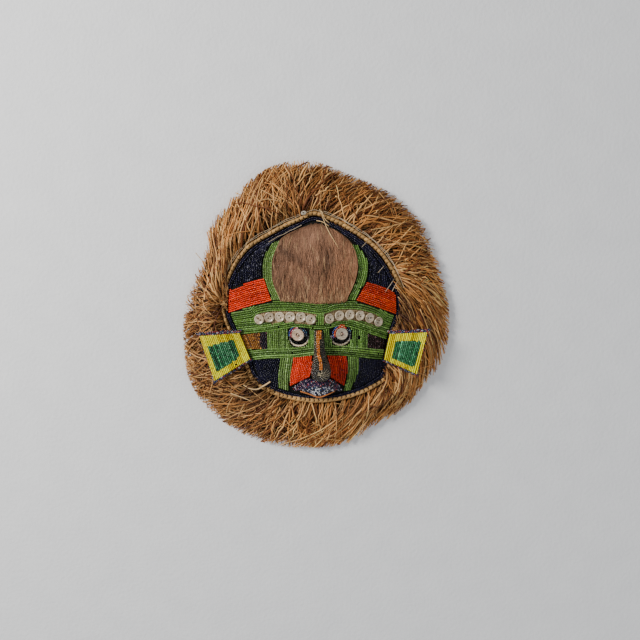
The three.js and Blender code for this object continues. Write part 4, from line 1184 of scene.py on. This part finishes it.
# Ears: a stiff cloth panel, a yellow border and an emerald field, beads in strings. Each row of edge beads
# has its side, its share inwards, its drop and the share of its beads that are left
ears = {
    "seat": 30.0, "tilt": 0.07, "thick": 1.6, "lift": 2.9, "follow": 0.35, "inset": 0.015, "edgeDrop": 0.4,
    # The pale green beads strewn over the emerald fields are painted glints, standing in for highlights along
    # the rows
    "cloth": (0.035, 0.016, 0.004), "under": (0.45, 0.33, 0.18), "paintedGlints": ((0.06, 0.24, 0.13), 0.06),
    "edges": [
        (0, -0.02, 0.0, 1.0), (0, -0.08, 0.6, 0.95), (0, -0.14, 1.4, 0.8), (1, -0.02, 0.4, 0.3),
        (2, -0.03, 0.0, 0.9), (2, -0.09, 0.8, 0.7),
    ],
    "left": {
        "panel": [(-83.7, -27.5), (-129.5, -30.5), (-113.5, -83), (-72, -57.5)],
        "centre": [(-91, -34.8), (-120.6, -43.2), (-109.4, -71.6), (-84, -54.8)],
    },
    "right": {
        "panel": [(86.4, -28.4), (129.4, -26.2), (118.6, -75), (80.2, -58.2)],
        "centre": [(93.6, -36.6), (123.4, -36.6), (113.8, -67.4), (89.4, -57)],
    },
}


def shrink(corners, share):
    corners = np.array(corners, float)
    return corners + (corners.mean(axis=0) - corners) * share


def straight(a, b, count=60):
    return np.linspace(a, b, count)


def onEar(path, slope):
    return np.column_stack([path, slope(path[:, 0], path[:, 1]) + ears["lift"]])


# Share of the way from a to b where the line through c and d crosses it
def crossing(a, b, c, d):
    (x, y), (alongX, alongY), (lineX, lineY) = c - a, b - a, d - c
    return (x * lineY - y * lineX) / (alongX * lineY - alongY * lineX)


# Rows from an ear's top edge to its bottom edge, which turn with the sides of its window
def earStrings(ear, slope):
    top, outer, bottom, inward = shrink(ear["panel"], ears["inset"])
    window = np.array(ear["centre"], float)
    above, below = (
        np.array([0, crossing(a, b, window[1], window[2]), crossing(a, b, window[0], window[3]), 1])
        for a, b in ((outer, top), (bottom, inward))
    )
    middle = (above + below) / 2
    above, below = (middle + ears["follow"] * (part - middle) for part in (above, below))
    long = np.linalg.norm(top - outer) + np.linalg.norm(inward - bottom)
    rows = (np.diff(middle) / 2 * long / earBead["pitch"]).round()
    knots = np.append(0, np.cumsum(rows)) / rows.sum()
    share = (np.arange(rows.sum()) + 0.5) / rows.sum()
    starts = outer + np.interp(share, knots, above)[:, None] * (top - outer)
    ends = bottom + np.interp(share, knots, below)[:, None] * (inward - bottom)
    strings = []
    for start, end in zip(starts, ends):
        strings.append(stringBeads(onEar(straight(start, end), slope), upright, earBead))
    return strings


def earSlope(inward):
    return lambda x, y: ears["seat"] + ears["tilt"] * (np.abs(x) - inward) + 0 * y


for side in ("left", "right"):
    ear = ears[side]
    slope = earSlope(abs(ear["panel"][0][0]))
    top, outer, bottom, inward = np.array(ear["panel"], float)
    grid = fieldGrid(straight(top, outer), straight(inward, bottom), height=slope, base=ears["thick"])
    points, faces = closedSheet(grid, grid - (0, 0, ears["thick"]))
    upper = np.arange(len(points))[:, None] < len(points) // 2
    # The panel's top is painted near black, the shade between the bead rows; its underside keeps the cloth's
    # tan
    tints = np.where(upper, ears["cloth"], ears["under"])
    panel = makePiece("ear_cloth_" + side, points, faces, "cloth", tints, "cloth", ["ear_panel_" + side])
    strings = earStrings(ear, slope)
    within = [insideShape(string[:, 0], string[:, 1], ear["centre"]) for string in strings]
    beadPiece(
        "strung_ear_border_" + side, [s[~inside] for s, inside in zip(strings, within)], "yellow",
        "beads_yellow", ["ear_yellow_" + side], earBead, "satin")
    beadPiece(
        "strung_ear_centre_" + side, [s[inside] for s, inside in zip(strings, within)], "emerald",
        "beads_emerald", ["ear_green_" + side], earBead, recolour=speckled(*ears["paintedGlints"]))
    rows = []
    for k, share, drop, left in ears["edges"]:
        corners = shrink(ear["panel"], share)
        path = onEar(straight(corners[k], corners[k + 1]), slope) - (0, 0, ears["edgeDrop"]) - (0, 0, drop)
        row = stringBeads(path, upright)
        rows.append(row[rng.random(len(row)) < left])
    beadPiece("strung_ear_edge_" + side, rows, "edge", "beads_edge", ["ear_edge_beads_" + side], look="gloss")
print("stage: ears")


# An amount that fades away on both sides of an angle
def fading(turn, amount, middle, spread):
    return amount * bell((np.degrees(turn) - middle + 180) % 360 - 180, spread)


# Braid round the face: wider at the chin, narrow at the left, and painted darker at the right as shade
braid = {
    "out": 0.9, "width": 5.4, "top": 25.2, "low": 18.2, "turns": 128, "steps": 18, "wrap": 2.1, "thick": 0.5,
    "lean": 0.5, "colour": (0.56, 0.34, 0.13), "welt": (0.05, 0.022, 0.008), "chin": (1.2, -92.0, 34.0),
    "left": (-2.0, 176.0, 20.0), "shift": (-3.6, -86.0, 34.0), "raise": 0.5, "shadeRight": (-0.62, 0.0, 26.0),
    "slip": 0.2, "slipOut": 0.4, "inset": 0.9, "weltInset": 0.2, "shades": (0.7, 1.2), "sides": 6,
}

# Raffia collar: heights over the distance from the rim, as in the CAD, and the strands' shapes and tints.
# Slants and tones go by the angle in degrees, the shade of deeper strands by a strand's level, and the shade
# near the rim by the share of the reach. The tones are painted light and shade round the collar; the other
# two are painted shade
raffia = {
    "tufts": 150, "tuftSizes": (0.45, 1.6), "gather": 0.26, "gatherPower": 1.5, "rings": 9,
    "inner": [(-8, 15.5), (6.3, 17.5), (8.6, 23.0)], "shoulder": (22.0, 26.0), "tipBack": 16.0,
    "tipTop": 16.0, "end": 8.0, "endSpan": 5, "start": -4.0, "floor": 0.45, "lowest": 0.05, "past": 5.5,
    "crown": 1.8, "wild": 0.22, "wildCrown": 0.8, "wildTangle": 2.4, "bow": 0.02, "kink": 0.0055,
    "lean": 0.085, "longer": 0.065, "wave": 1.1, "waves": (0.8, 2.2), "twist": (0.9, 1.2), "widths": 0.3,
    "thinner": 0.4, "ribbon": [(-0.5, -0.12), (0.5, -0.12), (0.0, 0.28)], "mix": (0.5, 0.6, 0.14),
    "paleShare": 0.34,
    "slants": [
        (0, -54), (15, -30), (30, -14), (45, -20), (60, -34), (75, -30), (90, -30), (105, 12), (120, -46),
        (135, -58), (150, -62), (163, -62), (180, 16), (192, 22), (210, -14), (225, -34), (240, -38),
        (253, -8), (270, -4), (285, -48), (300, -62), (315, -22), (330, -54), (345, -54), (360, -54),
    ],
    "gold": (0.62, 0.28, 0.074), "rust": (0.15, 0.04, 0.006), "pale": (0.92, 0.53, 0.205),
    "dark": (0.014, 0.004, 0.001),
    "depthShade": [(0.0, 0.7), (0.12, 0.45), (0.3, 0.12), (0.62, 0.09), (0.88, 0.36), (1.05, 1.36)],
    "rootShade": [(0, 0.62), (0.3, 0.84), (0.7, 1.0), (1, 1.08)], "tips": [(0.75, 1), (1, 1.25)],
    "lit": [(0.75, 0), (0.98, 0.9)], "hollow": 0.55,
    "shadows": [(-4, 15, 0.62, 0.68), (232, 11, 0.7, 0.4)],
    "tones": [
        (0, 1.2), (12, 1.26), (45, 1.0), (90, 0.96), (135, 1.0), (168, 0.96), (185, 0.7), (206, 0.76),
        (234, 0.72), (250, 0.96), (270, 1.18), (312, 0.95), (360, 1.2),
    ],
}
tuftEdges = np.cumsum(rng.uniform(*raffia["tuftSizes"], raffia["tufts"]))
tuftEdges *= 2 * math.pi / tuftEdges[-1]
tuftValues = rng.normal(0, 1, (3, raffia["tufts"]))


def collarTop(away, reach, turn):
    out, crest = raffia["shoulder"]
    inner = byTable(away - fading(turn, *braid["shift"]), [*raffia["inner"], raffia["shoulder"]])
    fall = np.clip((away - out) / np.maximum(1, reach - raffia["tipBack"] - out), 0, 1)
    middle = crest + (raffia["tipTop"] - crest) * fall
    drop = np.clip((away - reach + raffia["tipBack"]) / raffia["tipBack"], 0, 1)
    far = raffia["tipTop"] + (raffia["end"] - raffia["tipTop"]) * drop**1.5
    return np.where(away < out, inner, np.where(away < reach - raffia["tipBack"], middle, far))


# Angle that a strand turns through from its foot to the fringe's edge = tan(slant) * reach / middle radius
def swingAt(angle):
    slant = np.radians(byTable(np.degrees(angle) % 360, raffia["slants"]))
    rim, edge = rimRadius(angle), fringeRadius(angle)
    return np.tan(slant) * 2 * (edge - rim) / (edge + rim)


# Strands run out from the rim, lean with the swing, cross by their tangle and gather into tufts with high
# middles. A strand's level goes from 0 at the foot to 1 at the collar's top; stand lifts its tip, arch lifts
# its root, and late is how far out its root may start
def raffiaStrands(level, trim, wide, tangle, stand=0.0, arch=0.0, angle=None, late=9.0, bright=1.0):
    count = len(level)
    t = np.linspace(0, 1, raffia["rings"])[None]
    angle = rng.uniform(0, 2 * math.pi, (count, 1)) if angle is None else angle[:, None] % (2 * math.pi)
    tuft = np.searchsorted(tuftEdges, angle).clip(0, raffia["tufts"] - 1)
    last = tuftEdges[tuft]
    first = np.where(tuft > 0, tuftEdges[tuft - 1], 0.0)
    middle = (first + last) / 2
    lean, longer, tone = (values[tuft] for values in tuftValues)
    wild = rng.random((count, 1)) < raffia["wild"]
    crown = np.where(wild, raffia["wildCrown"], 1 - (2 * (angle - middle) / (last - first)) ** 2)
    trim = trim[:, None] * (1 + raffia["longer"] * longer)
    start = raffia["start"] + rng.uniform(0, late, (count, 1))
    span = fringeRadius(angle) - rimRadius(angle)
    share = (start + (trim * span - start) * t) / span
    cross = tangle * np.where(wild, raffia["wildTangle"], 1.0) * rng.normal(0, 1, (count, 1))
    turn = angle + swingAt(angle) * (share - 0.5) + (raffia["lean"] * lean + cross) * (share - 0.25)
    gathered = np.clip(share, 0, 1) ** raffia["gatherPower"]
    turn = turn + np.where(wild, 0.0, middle - angle) * raffia["gather"] * gathered
    turn = turn + raffia["bow"] * rng.normal(0, 1, (count, 1)) * np.sin(math.pi * t)
    turn = turn + raffia["kink"] * rng.normal(0, 1, turn.shape)
    rim = rimRadius(turn)
    reach = fringeRadius(turn) - rim
    away = start + (reach * np.minimum(1 + raffia["past"] / reach, trim) - start) * t
    low = raffia["end"] * np.clip((away - reach + raffia["endSpan"]) / raffia["endSpan"], 0, 1)
    level = level[:, None]
    wave = rng.normal(0, raffia["wave"], (count, 1))
    wave = wave * np.sin(math.pi * t * rng.uniform(*raffia["waves"], (count, 1)))
    uneven = (wave + raffia["crown"] * (crown - 0.5)) * np.minimum(1, level)
    height = low + (collarTop(away, reach, turn) - low) * level + uneven
    height += stand * np.abs(rng.normal(0, 1, (count, 1))) * t**3 + arch * (1 - t) ** 2
    paths = aroundMiddle(rim + away, turn, np.maximum(height, raffia["floor"]))
    sides, ups = pathFrames(paths)
    twist, more = (rng.uniform(-most, most, (count, 1)) for most in raffia["twist"])
    twist = twist + more * t
    cos, sin = np.cos(twist)[..., None], np.sin(twist)[..., None]
    width = wide * np.exp(rng.normal(0, raffia["widths"], (count, 1)))
    width = (width * (1 - raffia["thinner"] * t**4))[..., None]
    sides, ups = (cos * sides + sin * ups) * width, (cos * ups - sin * sides) * width
    points, faces = sweep(paths, sides, ups, np.array(raffia["ribbon"]))
    points[:, 2] = np.maximum(points[:, 2], raffia["lowest"])
    half, spread, byTuft = raffia["mix"]
    mix = np.clip(half + rng.normal(0, spread, (count, 1)) + byTuft * tone, 0, 1)
    tint = mixTints(raffia["rust"], raffia["gold"], mix)
    repaint(tint, rng.random(count) < raffia["paleShare"], raffia["pale"])
    # Painted shade and light: darker towards the rim, for deeper strands and at the edges of tufts, lifted
    # again at the outer tips, painted shadows, and lighter or darker by the angle round the collar
    shade = byTable(away / reach, raffia["rootShade"]) * byTable(t, raffia["tips"])
    depth = raffia["hollow"] + (1 - raffia["hollow"]) * np.maximum(0, crown)
    depth = byTable(level, raffia["depthShade"]) * depth
    shade = shade * (depth + (1 - depth) * byTable(away / reach, raffia["lit"]))
    for middle, spread, far, amount in raffia["shadows"]:
        amount = amount * np.clip(1.5 - 1.5 * away / reach / far, 0, 1)
        shade = shade * (1 - fading(turn, amount, middle, spread))
    shade = shade * bright * byTable(np.degrees(turn) % 360, raffia["tones"])
    tints = (tint[:, None] * shade[..., None]).reshape(-1, 3)
    return points, faces, np.repeat(tints, len(raffia["ribbon"]), axis=0)


# Values that fall off to one side: below a high value and above a low one
def oneSided(value, spread, count):
    return np.abs(rng.normal(0, spread, count)) * (-1 if value > 0.5 else 1) + value


# Layers: count, ways to draw the level and the trim, and the rest. The last two lie over the braid
overAngles = np.radians(rng.choice([-136, -46, -40, 176, 154], 170) + rng.normal(0, 8, 170))
sideAngles = np.radians(rng.uniform(-40, -2, 120))
layers = {
    "raffia_top": (2500, (rng.uniform, 0.4, 1.1), (rng.normal, 0.98, 0.06), {"wide": 1.4, "tangle": 0.12}),
    "raffia_short": (
        2900, (rng.uniform, 0.4, 1.14), (rng.uniform, 0.5, 1.02),
        {"wide": 1.25, "tangle": 0.2, "stand": 2.2, "late": 34.0}),
    "raffia_under": (2300, (oneSided, 0.0, 0.3), (rng.normal, 0.97, 0.06), {"wide": 1.9, "tangle": 0.09}),
    "raffia_over": (
        170, (oneSided, 1.1, 0.1), (rng.uniform, 0.3, 0.8),
        {"wide": 1.25, "tangle": 0.12, "stand": 1.5, "arch": 9.0, "angle": overAngles}),
    "raffia_side": (
        120, (oneSided, 1.1, 0.1), (rng.uniform, 0.25, 0.7),
        {"wide": 1.0, "tangle": 0.2, "stand": 1.0, "arch": 9.0, "angle": sideAngles, "late": 6.0,
         "bright": 1.3}),
}
for name, (count, *draws, values) in layers.items():
    level, trim = (draw(*span, count) for draw, *span in draws)
    points, faces, tints = raffiaStrands(level, trim, **values)
    nodes = ["raffia_fringe"] if name == "raffia_top" else ()
    makePiece(name, points, faces, "raffia", tints, "raffia", nodes)

# Packed middle of the collar, painted dark as the shade between the strands: a ring whose section has shares
# of the reach, places from the rim, and heights
core = np.array([
    (0, -7, 0.8), (0.78, 0, 1.0), (0.84, 0, 4.0), (0.66, 0, 9.0), (0, 20, 16.0), (0, 7, 12.5), (0, -7, 14.5),
])
turn = evenAngles(360)
rim = rimRadius(turn)
radius = rim[:, None] + core[:, 0] * (fringeRadius(turn) - rim)[:, None] + core[:, 1]
points = aroundMiddle(radius, turn[:, None], np.broadcast_to(core[:, 2], radius.shape)).reshape(-1, 3)
faces = [ringCells(len(turn), len(core), loop=True)[:, [0, 3, 2, 1]]]
makePiece("raffia_core", points, faces, "raffia", raffia["dark"], "raffia")
print("stage: raffia")


# The braid's middle: its radius, its height and how much it swells
def braidMiddle(turn):
    swell = fading(turn, *braid["chin"]) + fading(turn, *braid["left"])
    shift = fading(turn, *braid["shift"])
    radius = rimRadius(turn) + braid["out"] + braid["width"] / 2 + swell / 2 + shift
    return radius, (braid["top"] + braid["low"]) / 2 - braid["raise"] * shift, swell


# Flat stitches wrapped round a welt on the collar, with gaps that show the welt, which is painted dark as the
# shade between the stitches
steps = braid["steps"]
count = braid["turns"] * steps
phase = np.arange(count) * 2 * math.pi / steps
turn = evenAngles(count)
slip = np.repeat(rng.normal(0, braid["slip"], braid["turns"]), steps)
turn = turn + braid["lean"] * 2 * math.pi / braid["turns"] * np.sin(phase + slip)
wide = braid["width"] / 2 - braid["inset"]
high = (braid["top"] - braid["low"]) / 2 - braid["inset"]
radius, height, swell = braidMiddle(turn)
radius = radius + braid["slipOut"] * slip + (wide + swell / 2) * np.cos(phase)
paths = aroundMiddle(radius, turn, height + (high + slip) * np.sin(phase))[None]
outward = aroundMiddle(np.cos(phase), turn, np.sin(phase))[None]
profile = ringProfile(braid["sides"])
points, faces = tubes(paths, braid["wrap"], braid["thick"], profile, outward, loop=True)
# Each turn has a random tone, and painted shade darkens the turns at the right
tone = rng.uniform(*braid["shades"], braid["turns"]) * (1 + fading(turn[::steps], *braid["shadeRight"]))
tone = np.repeat(tone, steps * len(profile))[:, None]
makePiece("wrapped_braid", points, faces, "braid", np.array(braid["colour"]) * tone, "braid", ["rim_braid"])

turn = evenAngles(480)
radius, height, swell = braidMiddle(turn)
wide, high = wide - braid["weltInset"] + swell / 2, high - braid["weltInset"]
paths = aroundMiddle(radius, turn, height)[None]
points, faces = tubes(paths, wide[:, None], high, ringProfile(10), loop=True)
makePiece("braid_welt", points, faces, "braid", braid["welt"], "braid")

# Loose pale threads just outside and inside the braid, by their first and last angle, distance and height.
# They sway, ripple and roll by an amount and a number of waves round the rim
threads = {
    "radius": 0.27, "inside": 3.8, "sway": (0.3, 17), "ripple": (0.25, 41), "roll": (0.5, 23),
    "colour": (0.60, 0.50, 0.34),
    "runs": [(12, 172, 7.0, 24.6), (22, 84, 8.2, 25.0), (96, 160, 8.4, 25.0), (98, 124, -4.8, 26.4)],
}
paths = []
(sway, swayWaves), (ripple, rippleWaves) = threads["sway"], threads["ripple"]
for first, last, out, top in threads["runs"]:
    turn = np.radians(np.linspace(first, last, 200))
    radius = rimRadius(turn) + out + sway * np.sin(swayWaves * turn + first)
    radius = radius + ripple * np.sin(rippleWaves * turn)
    if out > 0:
        height = top + threads["roll"][0] * np.sin(threads["roll"][1] * turn)
    else:
        height = faceHeight(radius * np.cos(turn), radius * np.sin(turn)) + threads["inside"]
    paths.append(aroundMiddle(radius, turn, height))
points, faces = tubes(np.array(paths), threads["radius"], threads["radius"], ringProfile(5))
makePiece("edge_threads", points, faces, "thread", threads["colour"], "thread")

# Loose pale straws over the hide, the border and the chin: thickness, colour, and places with their height
# above the face or, outside it, above the collar, whose heights go by the share of the rim's radius
straws = {
    "pale": (0.5, (0.80, 0.58, 0.30), [
        [(7, 112, 4.5), (10.5, 103, 4.0), (15.8, 89.1, 5.0), (28.8, 66.6, 3.6)],
        [(3.5, 99, 4.2), (10, 97.5, 5.0), (17.8, 92.6, 4.6)],
        [(9, 110, 5.0), (13, 101, 5.5), (18, 96, 5.0)],
        [(-96, -98.2, 7.4), (-82.9, -102.6, 8.4), (-69.9, -107.8, 9.0)],
    ]),
    "chin": (1.0, (0.80, 0.58, 0.30), [
        [(-49.8, -84.3, 4.0), (-56.5, -89, 5.0), (-65, -93.2, 7.4), (-73.3, -92.2, 8.4), (-80.9, -87.9, 8.4)],
    ]),
    "grey": (0.3, (0.60, 0.50, 0.36), [
        [(54.6, 69.4, 4.2), (57, 72, 4.6), (60.6, 76, 5.4)],
        [(72.5, 40.5, 4.0), (76, 44.2, 4.6), (80, 48.6, 6.0)],
        [(81.4, 19.7, 4.2), (87.5, 27.6, 5.0), (92, 34.1, 5.4)],
        [(89.1, 19.6, 4.4), (92.7, 26, 5.0), (97, 32.8, 5.4)],
    ]),
    "tan": (0.42, (0.66, 0.42, 0.18), [
        [(-93.8, -102.6, 7.4), (-99.8, -113, 6.4), (-103.7, -126.4, 3.0)],
        [(-80.1, -110, 8.0), (-85.3, -120.4, 6.4), (-90.6, -130.9, 3.0)],
        [(-72.4, -94.7, 7.0), (-63.7, -101.4, 8.4), (-53.6, -109.5, 8.6)],
        [(-62.1, 103.8, 8.0), (-71.5, 81.6, 7.0), (-82.4, 57.1, 6.4)],
        [(-60.2, 134.8, 4.0), (-47.5, 127.9, 6.4), (-35.6, 119.6, 8.4)],
        [(-63.1, 121, 6.4), (-51.8, 123.1, 7.4), (-36.3, 119.6, 8.4)],
        [(-119.5, 88.9, 0.0), (-118.9, 83.3, 1.5), (-116.2, 74.2, 4.0)],
        [(-137.3, 63.8, -4.0), (-131, 57.4, -2.0), (-122, 49.6, 3.0)],
        [(-51.5, 124.7, 7.0), (-40.4, 112.3, 8.0), (-30.6, 104, 8.0)],
        [(76.1, 80.8, 6.0), (100.4, 73.6, 7.4), (119.8, 76, 5.4), (134.4, 76, 1.0)],
        [(64.7, 88.8, 6.6), (84, 92, 7.4), (106.5, 98.3, 3.4)],
    ]),
}
collarHeights = [(0.98, 0), (1.02, 22.5), (1.3, 21.5), (1.6, 13.0)]
for name, (thick, colour, lines) in straws.items():
    paths = []
    for line in lines:
        path = through(*line, count=24)
        x, y = path[:, 0], path[:, 1]
        share = np.hypot(x, y) / rimRadius(np.arctan2(y, x))
        beyond = byTable(share, collarHeights)
        path[:, 2] += np.where(share < 1.02, np.maximum(faceHeight(x, y), beyond), beyond)
        paths.append(path)
    width = thick * byTable(np.linspace(0, 1, 24), [(0, 1.0), (0.7, 0.9), (1, 0.4)])[:, None]
    makePiece(
        "straws_" + name, *tubes(np.array(paths), width, width, ringProfile(5)), "raffia", colour, "raffia")

# Knot of pale thread at the top: short loops round one another
t = np.linspace(0, 2 * math.pi, 36, endpoint=False)[None]
tilt = rng.uniform(0, math.pi, (knot["loops"], 1))
size = rng.uniform(*knot["sizes"], (knot["loops"], 1))
(long, tall), across = knot["half"], knot["across"]
paths = np.stack([
    knot["place"][0] + long * size * np.cos(t) * np.cos(tilt) - across * np.sin(t) * np.sin(tilt),
    knot["place"][1] + tall * size * np.sin(t) * np.cos(tilt) + across * np.cos(t) * np.sin(tilt),
    knot["height"] + across * np.sin(t + tilt * 3),
], -1)
points, faces = tubes(paths, knot["thread"], knot["thread"], ringProfile(6), knot["facing"], loop=True)
makePiece("knot_of_thread", points, faces, "thread", knot["colour"], "thread", ["thread_knot"])
print("stage: braid and knot")

# Hide: a skin with a thin edge, and hair in locks that lies down the face
hide = {
    "left": through((-36.8, 10.5), (-44.6, 30), (-46.2, 50), (-42, 67), (-36.5, 79), (-19, 89), (-3, 95)),
    "right": through((37.6, 12), (46, 30), (49.4, 43), (49.6, 55), (43.6, 73), (26, 88), (10, 94)),
    "skin": 1.5, "lift": 0.8, "locks": 1250, "perLock": 5, "length": 19.0, "width": 0.62, "rings": 5,
    "swirl": 0.14, "headings": 0.13, "rootSpread": 1.15, "tipSpread": 0.45, "bend": 0.10, "edge": 0.4,
    "ragged": 0.6, "raggedEnd": 0.7, "lockLengths": (0.7, 1.2), "hairLengths": (0.85, 1.05),
    "stand": (0.4, 1.7), "widths": (0.6, 1.3), "taper": [(0, 1), (0.6, 0.9), (1, 0.15)],
    "profile": [(-0.5, 0), (0.5, 0), (0, 0.4)], "roots": [(0, 0.7), (0.3, 0.93), (1, 1.08)],
    "lowest": [(-46, 10.6), (-20, 9.6), (6, 7.6), (28, 9.0), (50, 12.0)],
    "skinColour": (0.18, 0.09, 0.045), "rose": (0.36, 0.190, 0.115), "brown": (0.28, 0.135, 0.063),
    "pale": (0.62, 0.40, 0.22), "darkest": (0.05, 0.022, 0.012), "wispWidth": 1.3,
    "tintSpread": (0.13, 0.12), "patches": 0.16, "sides": 0.2, "fold": 0.35,
    "creaseDark": {"amount": 0.30, "off": 7, "spread": 7}, "paleShare": 0.07, "lowShare": 0.28, "low": 26,
    "wisps": [(-12.9, 62.3, -12.2, 58), (-5.4, 62.3, -5.2, 58), (-43, 40, -42, 36)],
}
grid = fieldGrid(hide["left"][::4], hide["right"][::4], base=hide["skin"] + hide["lift"], across=40)
points, faces = closedSheet(grid, grid - (0, 0, hide["skin"]))
makePiece("hide_skin", points, faces, "fur", hide["skinColour"], "hide", ["hide_patch"])


# Distance of places from a short line
def awayFrom(places, line):
    a, b = np.array(line[:2]), np.array(line[2:])
    part = np.clip(((places - a) @ (b - a)) / ((b - a) @ (b - a)), 0, 1)
    return np.linalg.norm(places - a - part[:, None] * (b - a), axis=1)


def edgeAt(y, edge):
    edge = edge[np.argsort(edge[:, 1])]
    return np.interp(y, edge[:, 1], edge[:, 0])


# Each lock has a root, a heading and a tint, and its hairs draw together towards its tip. The tints are
# rosier up the forehead, paler low down, painted lighter on the right of the crease and darker on its left,
# and painted shade beside the crease and along a fold at the left; the hairs are painted darker at their
# roots
locks = hide["locks"]
u, v = rng.random((2, locks))
index = (u * (len(hide["left"]) - 1)).astype(int)
root = hide["left"][index] * (1 - v[:, None]) + hide["right"][index] * v[:, None]
rootX, rootY = root.T
swirl = hide["swirl"] * np.sin(rootX / 9) * np.cos(rootY / 13)
heading = -math.pi / 2 + swirl + rng.normal(0, hide["headings"], locks)
fromCrease = rootX - creaseX(rootY)
mix = np.clip(0.62 - 0.12 * np.clip(fromCrease / 10, -1, 1) + 0.35 * (rootY - 50) / 45, 0, 1)
lockTint = mixTints(hide["brown"], hide["rose"], mix[:, None])
slow = np.sin(rootX / 8 + 1.3 * np.sin(rootY / 19)) * np.sin(rootY / 15 + 0.8)
dark = hide["creaseDark"]
creaseShade = dark["amount"] * bell(fromCrease - dark["off"], dark["spread"])
creaseShade = creaseShade * np.clip((rootY - 40) / 20, 0, 1)
# Painted light: lighter on the right of the crease, darker on its left
sideLight = 1 + hide["sides"] * np.tanh(fromCrease / 9)
unlike = np.exp(rng.normal(0, hide["tintSpread"][0], locks))
lockTint *= (unlike * (1 + hide["patches"] * slow - creaseShade) * sideLight)[:, None]
anyPale = rng.random(locks) < hide["paleShare"]
lowPale = (rootY < hide["low"]) & (rng.random(locks) < hide["lowShare"])
repaint(lockTint, anyPale | lowPale, hide["pale"])
for line in hide["wisps"]:
    lockTint[awayFrom(root, line) < hide["wispWidth"]] = hide["darkest"]
lock = np.repeat(np.arange(locks), hide["perLock"])
count = len(lock)
spreadRoot, spreadTip = (rng.normal(0, hide[key], (count, 2)) for key in ("rootSpread", "tipSpread"))
t = np.linspace(0, 1, hide["rings"])[None]
length = hide["length"] * rng.uniform(*hide["lockLengths"], locks)[lock][:, None]
length = length * rng.uniform(*hide["hairLengths"], (count, 1))
bend = rng.normal(0, hide["bend"], (count, 1)) * t
x, y = (
    (root[lock, axis] + spreadRoot[:, axis])[:, None] + length * t * way(heading[lock][:, None] + bend)
    for axis, way in enumerate((np.cos, np.sin))
)
x += (spreadTip - spreadRoot)[:, :1] * t
lowest = byTable(x, hide["lowest"]) + rng.normal(0, hide["raggedEnd"], (count, 1))
y = np.maximum(y, lowest - 0.5 + 1.5 * (1 - t))
leftEdge = edgeAt(y, hide["left"]) + hide["edge"] + rng.uniform(0, hide["ragged"], (count, 1))
rightEdge = edgeAt(y, hide["right"]) - hide["edge"] - rng.uniform(0, hide["ragged"], (count, 1))
x = np.clip(x, leftEdge, rightEdge)
stand = rng.uniform(*hide["stand"], (count, 1)) * np.sin(math.pi * (0.1 + 0.62 * t))
paths = np.stack([x, y, faceHeight(x, y) + hide["skin"] + hide["lift"] + stand], -1)
width = hide["width"] * rng.uniform(*hide["widths"], (count, 1)) * byTable(t, hide["taper"])
width = width[..., None]
points, faces = tubes(paths, width, width, np.array(hide["profile"]))
tint = lockTint[lock] * np.exp(rng.normal(0, hide["tintSpread"][1], (count, 1)))
# Painted shade along the fold at the left and at the hairs' roots
fold = 1 - hide["fold"] * bell(y - 70 + 0.6 * (x + 42), 6) * (x < -12)
shade = (byTable(t, hide["roots"]) * fold)[..., None]
tints = np.repeat((tint[:, None] * shade).reshape(-1, 3), 3, axis=0)
makePiece("hide_hair", points, faces, "fur", tints, "hide")
print("stage: hide")

# Floor, light and camera
plaster = {
    "corners": [(-4, -4, 0), (4, -4, 0), (4, 4, 0), (-4, 4, 0)], "roughness": 0.9, "cloud": 30.0,
    "stops": [(0.3, (0.76, 0.76, 0.76)), (0.7, (0.80, 0.80, 0.795))],
    "grain": 220.0, "bump": 0.5, "depth": 0.0012,
}
floor = makeObject("floor", plaster["corners"], [np.array([[0, 1, 2, 3]])])
material, tree, shader = newMaterial("floor_plaster", plaster["roughness"], {})
paint = ramp(tree, objectNoise(tree, plaster["cloud"]), plaster["stops"])
grain = objectNoise(tree, plaster["grain"], 4.0)
finishLook(tree, shader, paint, grain, plaster["bump"], plaster["depth"])
floor.data.materials.append(material)
floor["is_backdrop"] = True

lights = {
    "window": {"place": (-1.25, 0.6, 1.05), "size": 0.55, "power": 38.0, "colour": (1.0, 0.985, 0.96)},
    "fill": {"place": (0.9, -0.8, 1.6), "size": 1.4, "power": 7.0, "colour": (0.95, 0.97, 1.0)},
}
for name, values in lights.items():
    data = bpy.data.lights.new(name, "AREA")
    data.size = values["size"]
    data.energy = values["power"]
    data.color = values["colour"]
    lamp = bpy.data.objects.new(name, data)
    lamp.location = values["place"]
    lamp.rotation_euler = (-Vector(values["place"])).to_track_quat("-Z", "Y").to_euler()
    bpy.context.scene.collection.objects.link(lamp)
room = {"colour": (0.92, 0.95, 1.0, 1), "strength": 0.5}
world = bpy.data.worlds.new("room")
world.use_nodes = True
background = world.node_tree.nodes["Background"]
background.inputs["Color"].default_value = room["colour"]
background.inputs["Strength"].default_value = room["strength"]
bpy.context.scene.world = world

view = {"target": (7.4, -15.6, 0.0), "away": 600.0, "pitch": math.radians(5.0), "lens": 28.125}
right = np.array((1.0, 0.0, 0.0))
back = np.array((0.0, math.sin(view["pitch"]), math.cos(view["pitch"])))
place = toFrame([view["target"]])[0] + back * view["away"] / 1000
data = bpy.data.cameras.new("camera")
data.lens = view["lens"]
camera = bpy.data.objects.new("camera", data)
camera.matrix_world = Matrix([
    [*row, offset] for row, offset in zip(np.column_stack([right, np.cross(back, right), back]), place)
] + [[0, 0, 0, 1]])
bpy.context.scene.collection.objects.link(camera)
bpy.context.scene.camera = camera

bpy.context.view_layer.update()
triangles = 0
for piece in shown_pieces():
    piece.data.calc_loop_triangles()
    triangles += len(piece.data.loop_triangles)
print("stage: done, triangles", triangles)
